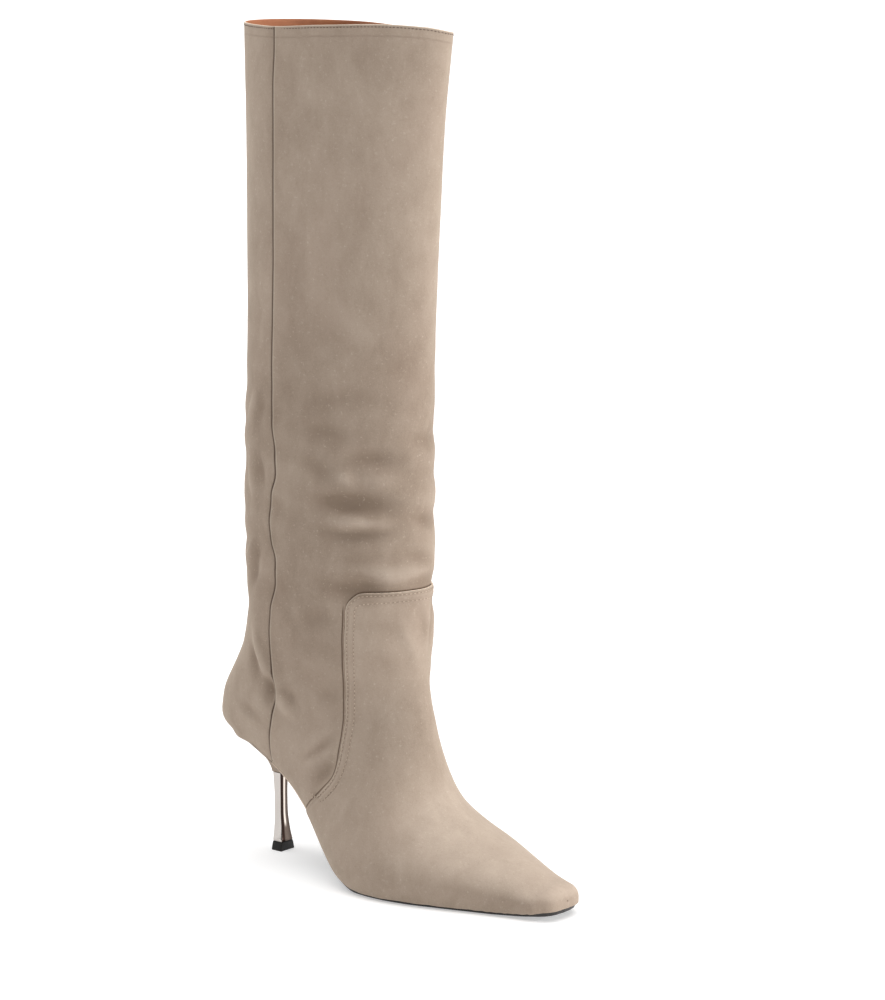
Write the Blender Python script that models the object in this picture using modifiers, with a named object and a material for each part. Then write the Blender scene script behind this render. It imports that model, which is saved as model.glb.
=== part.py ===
"""Knee-high suede boot for the right foot, on a slim metal heel.

Run with: blender --background --python part.py

Frame: metres, +Z up, +X towards the toe, +Y towards the inner side of the leg.
The origin is on the floor, at the middle of the heel tip's face.

The upper is one skin of sections, from the collar down the leg, over the instep and out to the toe. Each section
lies in a plane across the boot and is set by its rear point, its front point and its widths. Lengths in the tables
are shares of the named sizes that they follow.
"""

import math
from collections import namedtuple

import bmesh
import bpy
import numpy as np

# Foot
FOOT_LENGTH = 0.2290        # back of the counter to the tip of the toe, level
HEEL_SET = 0.0335           # back of the counter to the middle of the heel tip
HEEL_HEIGHT = 0.0680        # floor to the sole line at the back of the seat
BALL_WIDTH = 0.0755         # across the sole line at the ball
INSTEP_HEIGHT = 0.1018      # floor to the ridge where the vamp turns up into the ankle
TOE_SPRING = 0.0030         # lift of the sole line at the tip of the toe

# Leg
ANKLE_HEIGHT = 0.1550       # floor to the lowest level section of the leg
COLLAR_HEIGHT = 0.4465      # floor to the collar at the back
COLLAR_DIP = 0.0025         # fall of the collar from back to front
ANKLE_LEAN = 0.23           # front of the leg's lowest section over its back, share of the instep's height over the seat
LEG_SET = 0.0480            # middle of the leg ahead of the heel tip
SHAFT_DEPTH = 0.1300        # back to front at the collar
SHAFT_WIDTH = 0.0740        # side to side where the leg is widest

# Walls and gaps
UPPER_WALL = 0.0018
VAMP_WALL = 0.0012
SOLE_THICKNESS = 0.0026     # outsole under the forefoot
WAIST_THICKNESS = 0.0016    # outsole under the waist
INSOLE_THICKNESS = 0.0020
GAP = 0.0003                # between pieces that meet
SOLE_INSET = 0.0002         # sole's upper edge inside the sole line
SOLE_BEVEL = 0.0018         # sole's lower edge inside its upper edge
INSOLE_INSET = 0.0034       # insole's edge inside the sole line

# Vamp, lapped over the leg
VAMP_TOP = 0.1575           # floor to its top edge at the sides
VAMP_RISE = 0.0040          # rise of the top edge towards the front
VAMP_CORNER = 0.0080        # radius of its top corners
VAMP_HEM = 0.0012           # its lower edge above the sole line

# Heel
SEAT_LENGTH = 0.0425        # back of the seat to the heel breast, level
SEAT_INSET = 0.0010         # heel block's edge inside the sole line
STEM_TOP = 0.0430           # floor to the top of the metal
STEM_LENGTH = 0.0066        # metal at its foot, along X
STEM_WIDTH = 0.0089         # metal at its foot, along Y
STEM_LEAN = 0.0018          # top of the metal behind its foot
STEM_EDGE = 0.0003          # bevel of the metal's long edges
TIP_HEIGHT = 0.0048
TIP_LENGTH = 0.0072         # tip on the floor, along X
TIP_WIDTH = 0.0110          # tip on the floor, along Y
TIP_LIP = 0.0001            # tip past the metal all round
BLOCK_FLARE = 2.2           # how late the block spreads on its way up to the seat

# Mesh
COLUMNS = 32                # round a closed section
SEAT_STATIONS = 12          # along each side of the heel block
BLOCK_LEVELS = 7
SOLE_STATIONS = 30
PROUD = 0.0300              # cutters past what they cut


def table(columns, rows):
    """Rows with named columns."""
    row = namedtuple("Row", columns)
    return [row(*values) for values in rows]


# Leg, level sections, collar first. up: share of ANKLE_HEIGHT to COLLAR_HEIGHT. behind, ahead: shares of
# SHAFT_DEPTH from the leg's middle. outer, inner: half-widths, shares of SHAFT_WIDTH. widest: place of the full
# width from rear to front. rear, front: exponents of the two rounded ends, where 2 is an ellipse.
LEG = table("up behind ahead outer inner widest rear front", [
    (1.000, 0.462, 0.538, 0.466, 0.466, 0.38, 2.1, 1.75),
    (0.840, 0.450, 0.492, 0.473, 0.473, 0.38, 2.1, 1.75),
    (0.669, 0.446, 0.462, 0.480, 0.480, 0.38, 2.1, 1.80),
    (0.497, 0.442, 0.438, 0.486, 0.486, 0.38, 2.1, 1.80),
    (0.326, 0.454, 0.423, 0.493, 0.493, 0.38, 2.1, 1.85),
    (0.189, 0.465, 0.419, 0.500, 0.500, 0.38, 2.1, 1.90),
    (0.086, 0.465, 0.419, 0.500, 0.500, 0.38, 2.1, 1.90),
    (0.000, 0.462, 0.419, 0.493, 0.493, 0.38, 2.1, 1.90),
])

# Ankle and counter, sections that lean forward as they go down. rear_up: share of HEEL_HEIGHT to ANKLE_HEIGHT.
# front_up: share of INSTEP_HEIGHT to the leg's lowest front point. rear_along, front_along: shares of FOOT_LENGTH
# from the back of the counter.
ANKLE = table("rear_up front_up rear_along front_along outer inner widest rear front", [
    (0.770, 0.700, 0.096, 0.587, 0.480, 0.480, 0.38, 2.1, 1.90),
    (0.563, 0.450, 0.076, 0.585, 0.466, 0.466, 0.38, 2.1, 1.90),
    (0.379, 0.267, 0.034, 0.581, 0.446, 0.446, 0.38, 2.1, 1.90),
    (0.218, 0.117, 0.001, 0.581, 0.426, 0.426, 0.38, 2.2, 1.90),
    (0.092, 0.000, -0.001, 0.585, 0.405, 0.405, 0.39, 2.3, 1.90),
])

# Foot, sections whose rear point is on the sole line. rear_along, front_along: shares of FOOT_LENGTH. front_up:
# share of INSTEP_HEIGHT. outer, inner: half-widths, shares of BALL_WIDTH.
FOOT = table("rear_along front_along front_up outer inner widest rear front", [
    (0.030, 0.590, 0.942, 0.374, 0.374, 0.40, 2.4, 1.90),
    (0.115, 0.597, 0.874, 0.366, 0.366, 0.40, 2.4, 1.90),
    (0.210, 0.605, 0.791, 0.370, 0.368, 0.40, 2.4, 1.85),
    (0.310, 0.615, 0.699, 0.415, 0.392, 0.37, 2.4, 1.80),
    (0.406, 0.630, 0.590, 0.512, 0.435, 0.29, 2.4, 1.80),
    (0.492, 0.653, 0.490, 0.556, 0.478, 0.24, 2.4, 1.80),
    (0.588, 0.695, 0.405, 0.540, 0.506, 0.24, 2.4, 1.80),
    (0.683, 0.751, 0.339, 0.472, 0.490, 0.26, 2.4, 1.80),
    (0.779, 0.812, 0.284, 0.374, 0.404, 0.30, 2.3, 1.80),
    (0.853, 0.871, 0.235, 0.293, 0.314, 0.34, 2.3, 1.80),
    (0.913, 0.922, 0.192, 0.239, 0.250, 0.36, 2.3, 1.80),
    (0.957, 0.959, 0.160, 0.207, 0.224, 0.38, 2.3, 1.80),
])

# Toe, upright sections that crowd up to the blunt tip. front_up: share of INSTEP_HEIGHT.
TOE = table("along front_up widest rear front", [
    (0.976, 0.153, 0.42, 2.3, 2.10),
    (0.987, 0.140, 0.42, 2.3, 2.20),
    (0.994, 0.126, 0.42, 2.3, 2.30),
    (0.998, 0.112, 0.42, 2.3, 2.30),
    (1.000, 0.097, 0.42, 2.3, 2.30),
])
TOE_BULGE = 1.02            # upper over the sole line's width, at the toe

# Sole line, seen from the side. rise: share of HEEL_HEIGHT over the forefoot. spring: share of TOE_SPRING.
SOLE_LINE = table("along rise spring", [
    (0.000, 1.020, 0.00),
    (0.030, 1.000, 0.00),
    (0.145, 0.905, 0.00),
    (0.232, 0.744, 0.00),
    (0.319, 0.515, 0.00),
    (0.384, 0.300, 0.00),
    (0.427, 0.162, 0.00),
    (0.471, 0.055, 0.00),
    (0.518, 0.006, 0.00),
    (0.570, 0.000, 0.00),
    (0.840, 0.000, 0.00),
    (0.905, 0.000, 0.20),
    (0.961, 0.000, 0.65),
    (1.000, 0.000, 1.00),
])

# Sole line, seen from above. outer, inner: distances from the centre line, shares of BALL_WIDTH.
OUTLINE = table("along outer inner", [
    (0.030, 0.000, 0.000),
    (0.036, 0.090, 0.090),
    (0.058, 0.187, 0.187),
    (0.103, 0.258, 0.258),
    (0.167, 0.297, 0.297),
    (0.254, 0.303, 0.297),
    (0.341, 0.350, 0.312),
    (0.406, 0.415, 0.355),
    (0.471, 0.482, 0.420),
    (0.527, 0.510, 0.470),
    (0.588, 0.506, 0.499),
    (0.653, 0.474, 0.503),
    (0.727, 0.403, 0.460),
    (0.787, 0.340, 0.392),
    (0.848, 0.275, 0.322),
    (0.900, 0.226, 0.258),
    (0.944, 0.194, 0.212),
    (0.974, 0.168, 0.182),
    (0.991, 0.130, 0.146),
    (0.998, 0.080, 0.092),
    (1.000, 0.000, 0.000),
])

# Rear edge of the vamp, seen from the side. up: share of VAMP_TOP. along: share of FOOT_LENGTH.
VAMP_SIDE = table("up along", [
    (1.000, 0.466),
    (0.840, 0.456),
    (0.740, 0.450),
    (0.586, 0.441),
    (0.478, 0.438),
    (0.414, 0.435),
    (0.370, 0.429),
    (0.315, 0.400),
    (0.250, 0.352),
    (0.160, 0.280),
])

# Metal of the heel. up: share of its height. length, width: shares of STEM_LENGTH and STEM_WIDTH.
# back: share of STEM_LEAN.
STEM = table("up length width back", [
    (0.00, 1.00, 1.00, 0.00),
    (0.10, 0.91, 0.87, 0.16),
    (0.21, 0.83, 0.76, 0.30),
    (0.44, 0.71, 0.66, 0.55),
    (0.66, 0.65, 0.64, 0.76),
    (0.87, 0.69, 0.66, 0.92),
    (1.00, 0.74, 0.69, 1.00),
])

Section = namedtuple("Section", "rear_x rear_z front_x front_z outer inner widest rear front edge_outer edge_inner")


def smooth(xs, ys, x):
    """Value at x of a smooth curve through the points, which never overshoots them."""
    xs, ys = np.asarray(xs, float), np.asarray(ys, float)
    step = np.diff(xs)
    slope = np.diff(ys) / step
    tangent = np.zeros(len(xs))
    tangent[0], tangent[-1] = slope[0], slope[-1]
    for i in range(1, len(xs) - 1):
        if slope[i - 1] * slope[i] > 0:
            near, far = 2 * step[i] + step[i - 1], step[i] + 2 * step[i - 1]
            tangent[i] = (near + far) / (near / slope[i - 1] + far / slope[i])
    x = np.clip(x, xs[0], xs[-1])
    i = np.clip(np.searchsorted(xs, x, side="right") - 1, 0, len(step) - 1)
    t = (x - xs[i]) / step[i]
    start = (1 + 2 * t) * ys[i] + t * step[i] * tangent[i]
    end = (3 - 2 * t) * ys[i + 1] - (1 - t) * step[i] * tangent[i + 1]
    return (1 - t) ** 2 * start + t * t * end


def column(rows, name):
    return np.array([getattr(row, name) for row in rows])


def at_length(along):
    """X of a share of the foot's length from the back of the counter."""
    return along * FOOT_LENGTH - HEEL_SET


def share_of_length(x):
    return (x + HEEL_SET) / FOOT_LENGTH


def sole_line(x):
    """Height of the sole line: the top of the outsole and of the heel block."""
    along = share_of_length(x)
    low = SOLE_THICKNESS
    rise = smooth(column(SOLE_LINE, "along"), column(SOLE_LINE, "rise"), along)
    spring = smooth(column(SOLE_LINE, "along"), column(SOLE_LINE, "spring"), along)
    return low + rise * (HEEL_HEIGHT - low) + spring * TOE_SPRING


def outline(x, side):
    """Distance of the sole line from the centre line, on the side named outer or inner."""
    return BALL_WIDTH * smooth(column(OUTLINE, "along"), column(OUTLINE, side), share_of_length(x))


def leg_sections():
    for row in LEG:
        height = ANKLE_HEIGHT + row.up * (COLLAR_HEIGHT - ANKLE_HEIGHT)
        front = height + (1 - row.up) ** 2 * ankle_lean() - row.up * COLLAR_DIP
        yield Section(
            LEG_SET - row.behind * SHAFT_DEPTH, height, LEG_SET + row.ahead * SHAFT_DEPTH, front,
            row.outer * SHAFT_WIDTH, row.inner * SHAFT_WIDTH, row.widest, row.rear, row.front, 0, 0)


def ankle_lean():
    """Rise of the leg's lowest section from back to front."""
    return ANKLE_LEAN * (INSTEP_HEIGHT - HEEL_HEIGHT)


def ankle_sections():
    front_top = ANKLE_HEIGHT + ankle_lean()
    for row in ANKLE:
        yield Section(
            at_length(row.rear_along), HEEL_HEIGHT + row.rear_up * (ANKLE_HEIGHT - HEEL_HEIGHT),
            at_length(row.front_along), INSTEP_HEIGHT + row.front_up * (front_top - INSTEP_HEIGHT),
            row.outer * SHAFT_WIDTH, row.inner * SHAFT_WIDTH, row.widest, row.rear, row.front, 0, 0)


def foot_sections():
    for row in FOOT:
        x = at_length(row.rear_along)
        yield Section(
            x, sole_line(x) + GAP, at_length(row.front_along), row.front_up * INSTEP_HEIGHT,
            row.outer * BALL_WIDTH, row.inner * BALL_WIDTH, row.widest, row.rear, row.front, 0, 0)


def toe_sections():
    for row in TOE:
        x = at_length(row.along)
        widths = [TOE_BULGE * outline(x, side) for side in ("outer", "inner")]
        yield Section(
            x, sole_line(x) + GAP, x, row.front_up * INSTEP_HEIGHT, *widths, row.widest, row.rear, row.front, 0, 0)


# Steps between one row and the next in the four tables, collar to toe
STEPS = [1] * len(LEG) + [2] * len(ANKLE) + [3] + [2] * 6 + [1] * (len(FOOT) - 7) + [1] * (len(TOE) - 1)
FIRST_OPEN = len(LEG) + len(ANKLE)


def all_sections(first=0):
    """Sections from collar to toe, with those between the tables' rows, from row number first on."""
    rows = np.array([*leg_sections(), *ankle_sections(), *foot_sections(), *toe_sections()])
    numbers = np.arange(len(rows))
    places = [i + k / steps for i, steps in enumerate(STEPS) for k in range(steps)]
    places = [place for place in [*places, len(rows) - 1] if place >= first and place <= len(rows) - 1]
    for place in places:
        section = Section(*(smooth(numbers, rows[:, c], place) for c in range(rows.shape[1])))
        if place >= FIRST_OPEN:
            edges = [outline(section.rear_x, side) for side in ("outer", "inner")]
            section = section._replace(
                rear_z=sole_line(section.rear_x) + GAP, edge_outer=edges[0], edge_inner=edges[1])
        yield section


def half_section(section, side, points):
    """Points of one side of a section, evenly spaced from its rear or lower edge to its front, with Y >= 0."""
    rear = np.array([section.rear_x, section.rear_z])
    along = np.array([section.front_x, section.front_z]) - rear
    width, edge = getattr(section, side), getattr(section, "edge_" + side)
    if width < 1e-6:
        share, across = np.linspace(0, 1, 50), np.zeros(50)
    else:
        # An edge in from the full width cuts the rounded end short, so that the side stands up from it.
        start = math.asin(min(edge / width, 0.995) ** (section.rear / 2))
        low = np.linspace(start, math.pi / 2, 50)
        high = np.linspace(0, math.pi / 2, 50)[1:]
        reach = section.widest / math.cos(start) ** (2 / section.rear)
        share_low = section.widest - reach * np.abs(np.cos(low)) ** (2 / section.rear)
        share_high = section.widest + (1 - section.widest) * np.sin(high) ** (2 / section.front)
        share = np.concatenate([share_low, share_high])
        across = width * np.concatenate(
            [np.sin(low) ** (2 / section.rear), np.abs(np.cos(high)) ** (2 / section.front)])
        across[-1] = 0
    level = share * np.linalg.norm(along)
    travel = np.concatenate([[0], np.cumsum(np.hypot(np.diff(level), np.diff(across)))])
    even = np.linspace(0, travel[-1], points)
    share, across = np.interp(even, travel, share), np.interp(even, travel, across)
    flat = rear + share[:, None] * along
    return np.stack([flat[:, 0], across, flat[:, 1]], axis=1)


def section_points(section):
    """A whole section, from the outer side's lower edge over the front to the inner side's."""
    half = COLUMNS // 2 + 1
    outer = half_section(section, "outer", half) * (1, -1, 1)
    inner = half_section(section, "inner", half)
    return np.vstack([outer, inner[-2::-1]])


def new_mesh_object(name, bm):
    bmesh.ops.recalc_face_normals(bm, faces=bm.faces)
    mesh = bpy.data.meshes.new(name)
    bm.to_mesh(mesh)
    bm.free()
    mesh.shade_smooth()
    mesh.set_sharp_from_angle(angle=math.radians(35))
    return bpy.data.objects.new(name, mesh)


def loft(bm, rings, closed):
    """Quads between each ring of points and the next. Points that coincide are made one, so rings may close up."""
    verts = [[bm.verts.new(point) for point in ring] for ring in rings]
    count = len(rings[0])
    for low, high in zip(verts, verts[1:]):
        for i in range(count if closed else count - 1):
            j = (i + 1) % count
            bm.faces.new((low[i], low[j], high[j], high[i]))
    return verts


def weld(bm):
    bmesh.ops.remove_doubles(bm, verts=bm.verts, dist=1e-6)


def skin(name, first):
    """The upper's outer skin from one row of the tables down, open at its top and along the sole line."""
    bm = bmesh.new()
    loft(bm, [section_points(section) for section in all_sections(first)], closed=False)
    weld(bm)
    # Triangles keep the upper and the vamp folded along the same lines.
    bmesh.ops.triangulate(bm, faces=bm.faces, quad_method="SHORT_EDGE")
    obj = new_mesh_object(name, bm)
    # The first face is on the outer side, at the rear, so it looks towards -Y.
    if obj.data.polygons[0].normal.y > 0:
        obj.data.flip_normals()
    return obj


def add_wall(obj, thickness, offset):
    wall = obj.modifiers.new("Wall", "SOLIDIFY")
    wall.thickness = thickness
    wall.offset = offset


def make_upper():
    upper = skin("upper", 0)
    add_wall(upper, UPPER_WALL, -1)
    return upper


def vamp_outline():
    """The vamp seen from the side, as X and Z, from its top rear corner down, along the sole and over its top."""
    rear = at_length(VAMP_SIDE[0].along)
    reach = at_length(ANKLE[0].front_along) - rear
    slope = VAMP_RISE / reach
    corner = [
        (rear + VAMP_CORNER * (1 - math.cos(turn)), VAMP_TOP - VAMP_CORNER * (1 - math.sin(turn)))
        for turn in np.linspace(math.pi / 2, 0, 7)
    ]
    upwards = VAMP_SIDE[::-1]
    ups = np.linspace(1 - VAMP_CORNER / VAMP_TOP, VAMP_SIDE[-1].up, 32)[1:]
    side = [(at_length(smooth(column(upwards, "up"), column(upwards, "along"), up)), up * VAMP_TOP) for up in ups]
    side = [(x, z) for x, z in side if z > sole_line(x) + GAP + VAMP_HEM]
    hem = [(x, sole_line(x) + GAP + VAMP_HEM) for x in np.linspace(side[-1][0], at_length(1), 40)[1:]]
    ahead = at_length(1) + PROUD
    front = [(ahead, hem[-1][1]), (ahead, VAMP_TOP + slope * (ahead - rear))]
    return [*corner, *side, *hem, *front]


def make_cutter(name, points, half_width):
    """An upright outline, given as X and Z, drawn out to both sides of the centre line."""
    bm = bmesh.new()
    face = bm.faces.new([bm.verts.new((x, -half_width, z)) for x, z in points])
    grown = bmesh.ops.extrude_face_region(bm, geom=[face])["geom"]
    moved = [item for item in grown if isinstance(item, bmesh.types.BMVert)]
    bmesh.ops.translate(bm, verts=moved, vec=(0, 2 * half_width, 0))
    cutter = new_mesh_object(name, bm)
    cutter.hide_render = True
    cutter.display_type = "WIRE"
    return cutter


def make_vamp(cutter):
    """A shell just outside the upper's own skin, cut by the vamp's outline."""
    vamp = skin("vamp", len(LEG) - 2)
    add_wall(vamp, VAMP_WALL, 1 + 2 * GAP / VAMP_WALL)
    cut = vamp.modifiers.new("Outline", "BOOLEAN")
    cut.operation = "INTERSECT"
    cut.object = cutter
    return vamp


def inset_station(place, inset):
    """X and the outer and inner half-widths of the sole line's outline at X place, brought in by inset."""
    first, last = at_length(OUTLINE[0].along), at_length(OUTLINE[-1].along)
    off_middle = (2 * place - first - last) / (last - first)
    x = place - inset * off_middle ** 5
    return x, max(outline(place, "outer") - inset, 0), max(outline(place, "inner") - inset, 0)


def plate(name, places, insets, levels):
    """A plate inside the sole line's outline. insets and levels give its upper and lower edge."""
    bm = bmesh.new()
    rings = []
    for place in places:
        (high_x, *high), (low_x, *low) = (inset_station(place, inset) for inset in insets)
        high_z, low_z = levels[0](high_x), levels[1](low_x)
        rings.append([
            (high_x, -high[0], high_z), (low_x, -low[0], low_z), (low_x, low[1], low_z), (high_x, high[1], high_z)])
    ends = loft(bm, rings, closed=True)
    if rings[0][0][1] < 0:
        bm.faces.new(ends[0])
    weld(bm)
    return new_mesh_object(name, bm)


def sole_bottom(x):
    """The outsole's lower face. It thins from the ball to the waist."""
    full = 1 - smooth(column(SOLE_LINE, "along"), column(SOLE_LINE, "rise"), share_of_length(x))
    return sole_line(x) - WAIST_THICKNESS - (SOLE_THICKNESS - WAIST_THICKNESS) * max(2 * full - 1, 0)


def make_outsole():
    start, end = at_length(OUTLINE[0].along) + SEAT_LENGTH + GAP, at_length(1)
    places = [start + (end - start) * math.sin(turn) for turn in np.linspace(0, math.pi / 2, SOLE_STATIONS)]
    return plate("outsole", places, (SOLE_INSET, SOLE_INSET + SOLE_BEVEL), (sole_line, sole_bottom))


def make_insole():
    start, end = at_length(OUTLINE[0].along), at_length(1)
    places = [(start + end - (end - start) * math.cos(turn)) / 2 for turn in np.linspace(0, math.pi, SOLE_STATIONS)]
    return plate("insole", places, (INSOLE_INSET, INSOLE_INSET), (
        lambda x: sole_line(x) + GAP + INSOLE_THICKNESS, lambda x: sole_line(x) + GAP))


def make_heel_block():
    """Loft from the metal's top up to the seat, which follows the sole line."""
    first = at_length(OUTLINE[0].along)
    half_neck = STEM_WIDTH * STEM[-1].width / 2
    neck_rear = -STEM_LEAN - STEM_LENGTH * STEM[-1].length / 2
    neck_front = -STEM_LEAN + STEM_LENGTH * STEM[-1].length / 2
    corner = SEAT_STATIONS // 3
    seat, neck = [], []
    for i, turn in enumerate(np.linspace(0, math.pi / 2, SEAT_STATIONS + 1)):
        seat.append(inset_station(first + SEAT_LENGTH * (1 - math.cos(turn)), SEAT_INSET))
        along = max(i - corner, 0) / (SEAT_STATIONS - corner)
        neck_half = half_neck * min(i / corner, 1)
        neck.append((neck_rear + along * (neck_front - neck_rear), neck_half, neck_half))
    bm = bmesh.new()
    rings = []
    for up in np.linspace(0, 1, BLOCK_LEVELS):
        spread = up ** BLOCK_FLARE
        half = []
        for low, high in zip(neck, seat):
            x, outer, inner = (a + (b - a) * spread for a, b in zip(low, high))
            half.append((x, outer, inner, STEM_TOP + GAP + up * (sole_line(high[0]) - STEM_TOP - GAP)))
        outer_side = [(x, -outer, z) for x, outer, inner, z in half]
        inner_side = [(x, inner, z) for x, outer, inner, z in half[:0:-1]]
        rings.append([*outer_side, *inner_side])
    ends = loft(bm, rings, closed=True)
    count = len(rings[0])
    for ring in (ends[0], ends[-1]):
        bm.faces.new((ring[0], ring[1], ring[-1]))
        for i in range(1, SEAT_STATIONS):
            bm.faces.new((ring[i], ring[i + 1], ring[count - i - 1], ring[count - i]))
    return new_mesh_object("heel_block", bm)


def chamfered(x, z, length, width):
    """Eight corners of a level rectangle about X, with its corners cut by STEM_EDGE."""
    half, side = length / 2, width / 2
    quarter = [(half - STEM_EDGE, side), (half, side - STEM_EDGE)]
    right = [*quarter, *((a, -b) for a, b in quarter[::-1])]
    return [(x + a, b, z) for a, b in [*right, *((-a, b) for a, b in right[::-1])]]


def make_heel_stem():
    bm = bmesh.new()
    foot = TIP_HEIGHT + GAP
    rings = [
        chamfered(-STEM_LEAN * row.back, foot + row.up * (STEM_TOP - foot), STEM_LENGTH * row.length,
                  STEM_WIDTH * row.width)
        for row in STEM
    ]
    ends = loft(bm, rings, closed=True)
    bm.faces.new(ends[0])
    bm.faces.new(ends[-1])
    return new_mesh_object("heel_stem", bm)


def make_heel_tip():
    bm = bmesh.new()
    ends = loft(bm, [
        chamfered(0, 0, TIP_LENGTH, TIP_WIDTH),
        chamfered(0, TIP_HEIGHT, STEM_LENGTH + 2 * TIP_LIP, STEM_WIDTH + 2 * TIP_LIP)], closed=True)
    bm.faces.new(ends[0])
    bm.faces.new(ends[-1])
    return new_mesh_object("heel_tip", bm)


def make_material(name, colour, roughness, metallic=0.0):
    material = bpy.data.materials.new(name)
    material.use_nodes = True
    shader = material.node_tree.nodes["Principled BSDF"]
    shader.inputs["Base Color"].default_value = (*colour, 1)
    shader.inputs["Roughness"].default_value = roughness
    shader.inputs["Metallic"].default_value = metallic
    return material


def new_collection(name):
    collection = bpy.data.collections.new(name)
    bpy.context.scene.collection.children.link(collection)
    return collection


def main():
    for obj in list(bpy.data.objects):
        bpy.data.objects.remove(obj, do_unlink=True)
    suede = make_material("taupe suede", (0.36, 0.29, 0.225), 0.95)
    black = make_material("black sole edge", (0.02, 0.018, 0.017), 0.45)
    lining = make_material("tan lining leather", (0.48, 0.24, 0.11), 0.6)
    metal = make_material("champagne metal", (0.82, 0.76, 0.69), 0.12, 1.0)
    rubber = make_material("black rubber", (0.015, 0.015, 0.015), 0.6)

    cutter = make_cutter("vamp_outline", vamp_outline(), SHAFT_WIDTH / 2 + PROUD)
    new_collection("cutters").objects.link(cutter)
    pieces = (
        (make_upper(), suede),
        (make_vamp(cutter), suede),
        (make_insole(), lining),
        (make_outsole(), black),
        (make_heel_block(), suede),
        (make_heel_stem(), metal),
        (make_heel_tip(), rubber),
    )
    boot = new_collection("knee_high_boot")
    for piece, material in pieces:
        piece.data.materials.append(material)
        boot.objects.link(piece)


main()
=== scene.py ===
"""Looks of a knee-high suede boot for the right foot, on a slim metal heel.

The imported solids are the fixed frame. Their upper, vamp, sole and heel are dressed with finer pieces of the
same form, with folds, seams, stitches and finishes. All lengths are in metres, except where a name ends in _mm
or a comment says otherwise.
"""

import logging
import math
from dataclasses import dataclass, field
from enum import Enum
from typing import Any, Callable, NamedTuple, Sequence

import bpy
import numpy as np
from mathutils import Matrix, Vector, noise


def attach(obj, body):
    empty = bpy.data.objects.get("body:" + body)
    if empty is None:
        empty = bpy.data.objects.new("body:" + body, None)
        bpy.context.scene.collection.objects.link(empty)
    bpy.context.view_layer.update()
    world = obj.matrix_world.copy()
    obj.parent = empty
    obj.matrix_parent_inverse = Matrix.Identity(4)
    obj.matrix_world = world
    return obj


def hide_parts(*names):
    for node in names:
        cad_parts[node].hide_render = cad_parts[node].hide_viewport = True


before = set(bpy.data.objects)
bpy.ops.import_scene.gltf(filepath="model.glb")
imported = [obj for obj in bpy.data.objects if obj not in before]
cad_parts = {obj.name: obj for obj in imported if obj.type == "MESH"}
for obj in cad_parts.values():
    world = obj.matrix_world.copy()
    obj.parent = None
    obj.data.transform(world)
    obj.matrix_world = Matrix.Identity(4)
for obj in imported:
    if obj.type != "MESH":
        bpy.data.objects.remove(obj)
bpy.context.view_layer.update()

log = logging.getLogger("boot")

MM = 0.001
Array = np.ndarray
Colour = tuple[float, float, float]
Point = tuple[float, float, float]
Inputs = dict[Any, Any] | Sequence[Any]


class Side(Enum):
    """The two sides of the right boot, as the sign of Y."""

    OUTER = -1
    INNER = 1


class LegRow(NamedTuple):
    """A level section of the leg, in shares of the leg's sizes."""

    up: float
    behind: float
    ahead: float
    half_width: float
    rear: float
    front: float


class AnkleRow(NamedTuple):
    """A section of the ankle or counter, in shares of the heel's, instep's and foot's sizes."""

    rear_up: float
    front_up: float
    rear_along: float
    front_along: float
    half_width: float
    widest: float
    rear: float


class FootRow(NamedTuple):
    """A section of the foot whose rear point lies on the sole line."""

    rear_along: float
    front_along: float
    front_up: float
    outer: float
    inner: float
    widest: float
    rear: float
    front: float


class ToeRow(NamedTuple):
    """An upright section at the blunt tip of the toe."""

    along: float
    front_up: float
    front: float


LEG_ROWS = (
    LegRow(1.000, 0.462, 0.538, 0.466, 2.1, 1.75),
    LegRow(0.840, 0.450, 0.492, 0.473, 2.1, 1.75),
    LegRow(0.669, 0.446, 0.462, 0.480, 2.1, 1.80),
    LegRow(0.497, 0.442, 0.438, 0.486, 2.1, 1.80),
    LegRow(0.326, 0.454, 0.423, 0.493, 2.1, 1.85),
    LegRow(0.189, 0.465, 0.419, 0.500, 2.1, 1.90),
    LegRow(0.086, 0.465, 0.419, 0.500, 2.1, 1.90),
    LegRow(0.000, 0.462, 0.419, 0.493, 2.1, 1.90),
)

ANKLE_ROWS = (
    AnkleRow(0.770, 0.700, 0.096, 0.587, 0.480, 0.38, 2.1),
    AnkleRow(0.563, 0.450, 0.076, 0.585, 0.466, 0.38, 2.1),
    AnkleRow(0.379, 0.267, 0.034, 0.581, 0.446, 0.38, 2.1),
    AnkleRow(0.218, 0.117, 0.001, 0.581, 0.426, 0.38, 2.2),
    AnkleRow(0.092, 0.000, -0.001, 0.585, 0.405, 0.39, 2.3),
)

FOOT_ROWS = (
    FootRow(0.030, 0.590, 0.942, 0.374, 0.374, 0.40, 2.4, 1.90),
    FootRow(0.115, 0.597, 0.874, 0.366, 0.366, 0.40, 2.4, 1.90),
    FootRow(0.210, 0.605, 0.791, 0.370, 0.368, 0.40, 2.4, 1.85),
    FootRow(0.310, 0.615, 0.699, 0.415, 0.392, 0.37, 2.4, 1.80),
    FootRow(0.406, 0.630, 0.590, 0.512, 0.435, 0.29, 2.4, 1.80),
    FootRow(0.492, 0.653, 0.490, 0.556, 0.478, 0.24, 2.4, 1.80),
    FootRow(0.588, 0.695, 0.405, 0.540, 0.506, 0.24, 2.4, 1.80),
    FootRow(0.683, 0.751, 0.339, 0.472, 0.490, 0.26, 2.4, 1.80),
    FootRow(0.779, 0.812, 0.284, 0.374, 0.404, 0.30, 2.3, 1.80),
    FootRow(0.853, 0.871, 0.235, 0.293, 0.314, 0.34, 2.3, 1.80),
    FootRow(0.913, 0.922, 0.192, 0.239, 0.250, 0.36, 2.3, 1.80),
    FootRow(0.957, 0.959, 0.160, 0.207, 0.224, 0.38, 2.3, 1.80),
)

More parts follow.
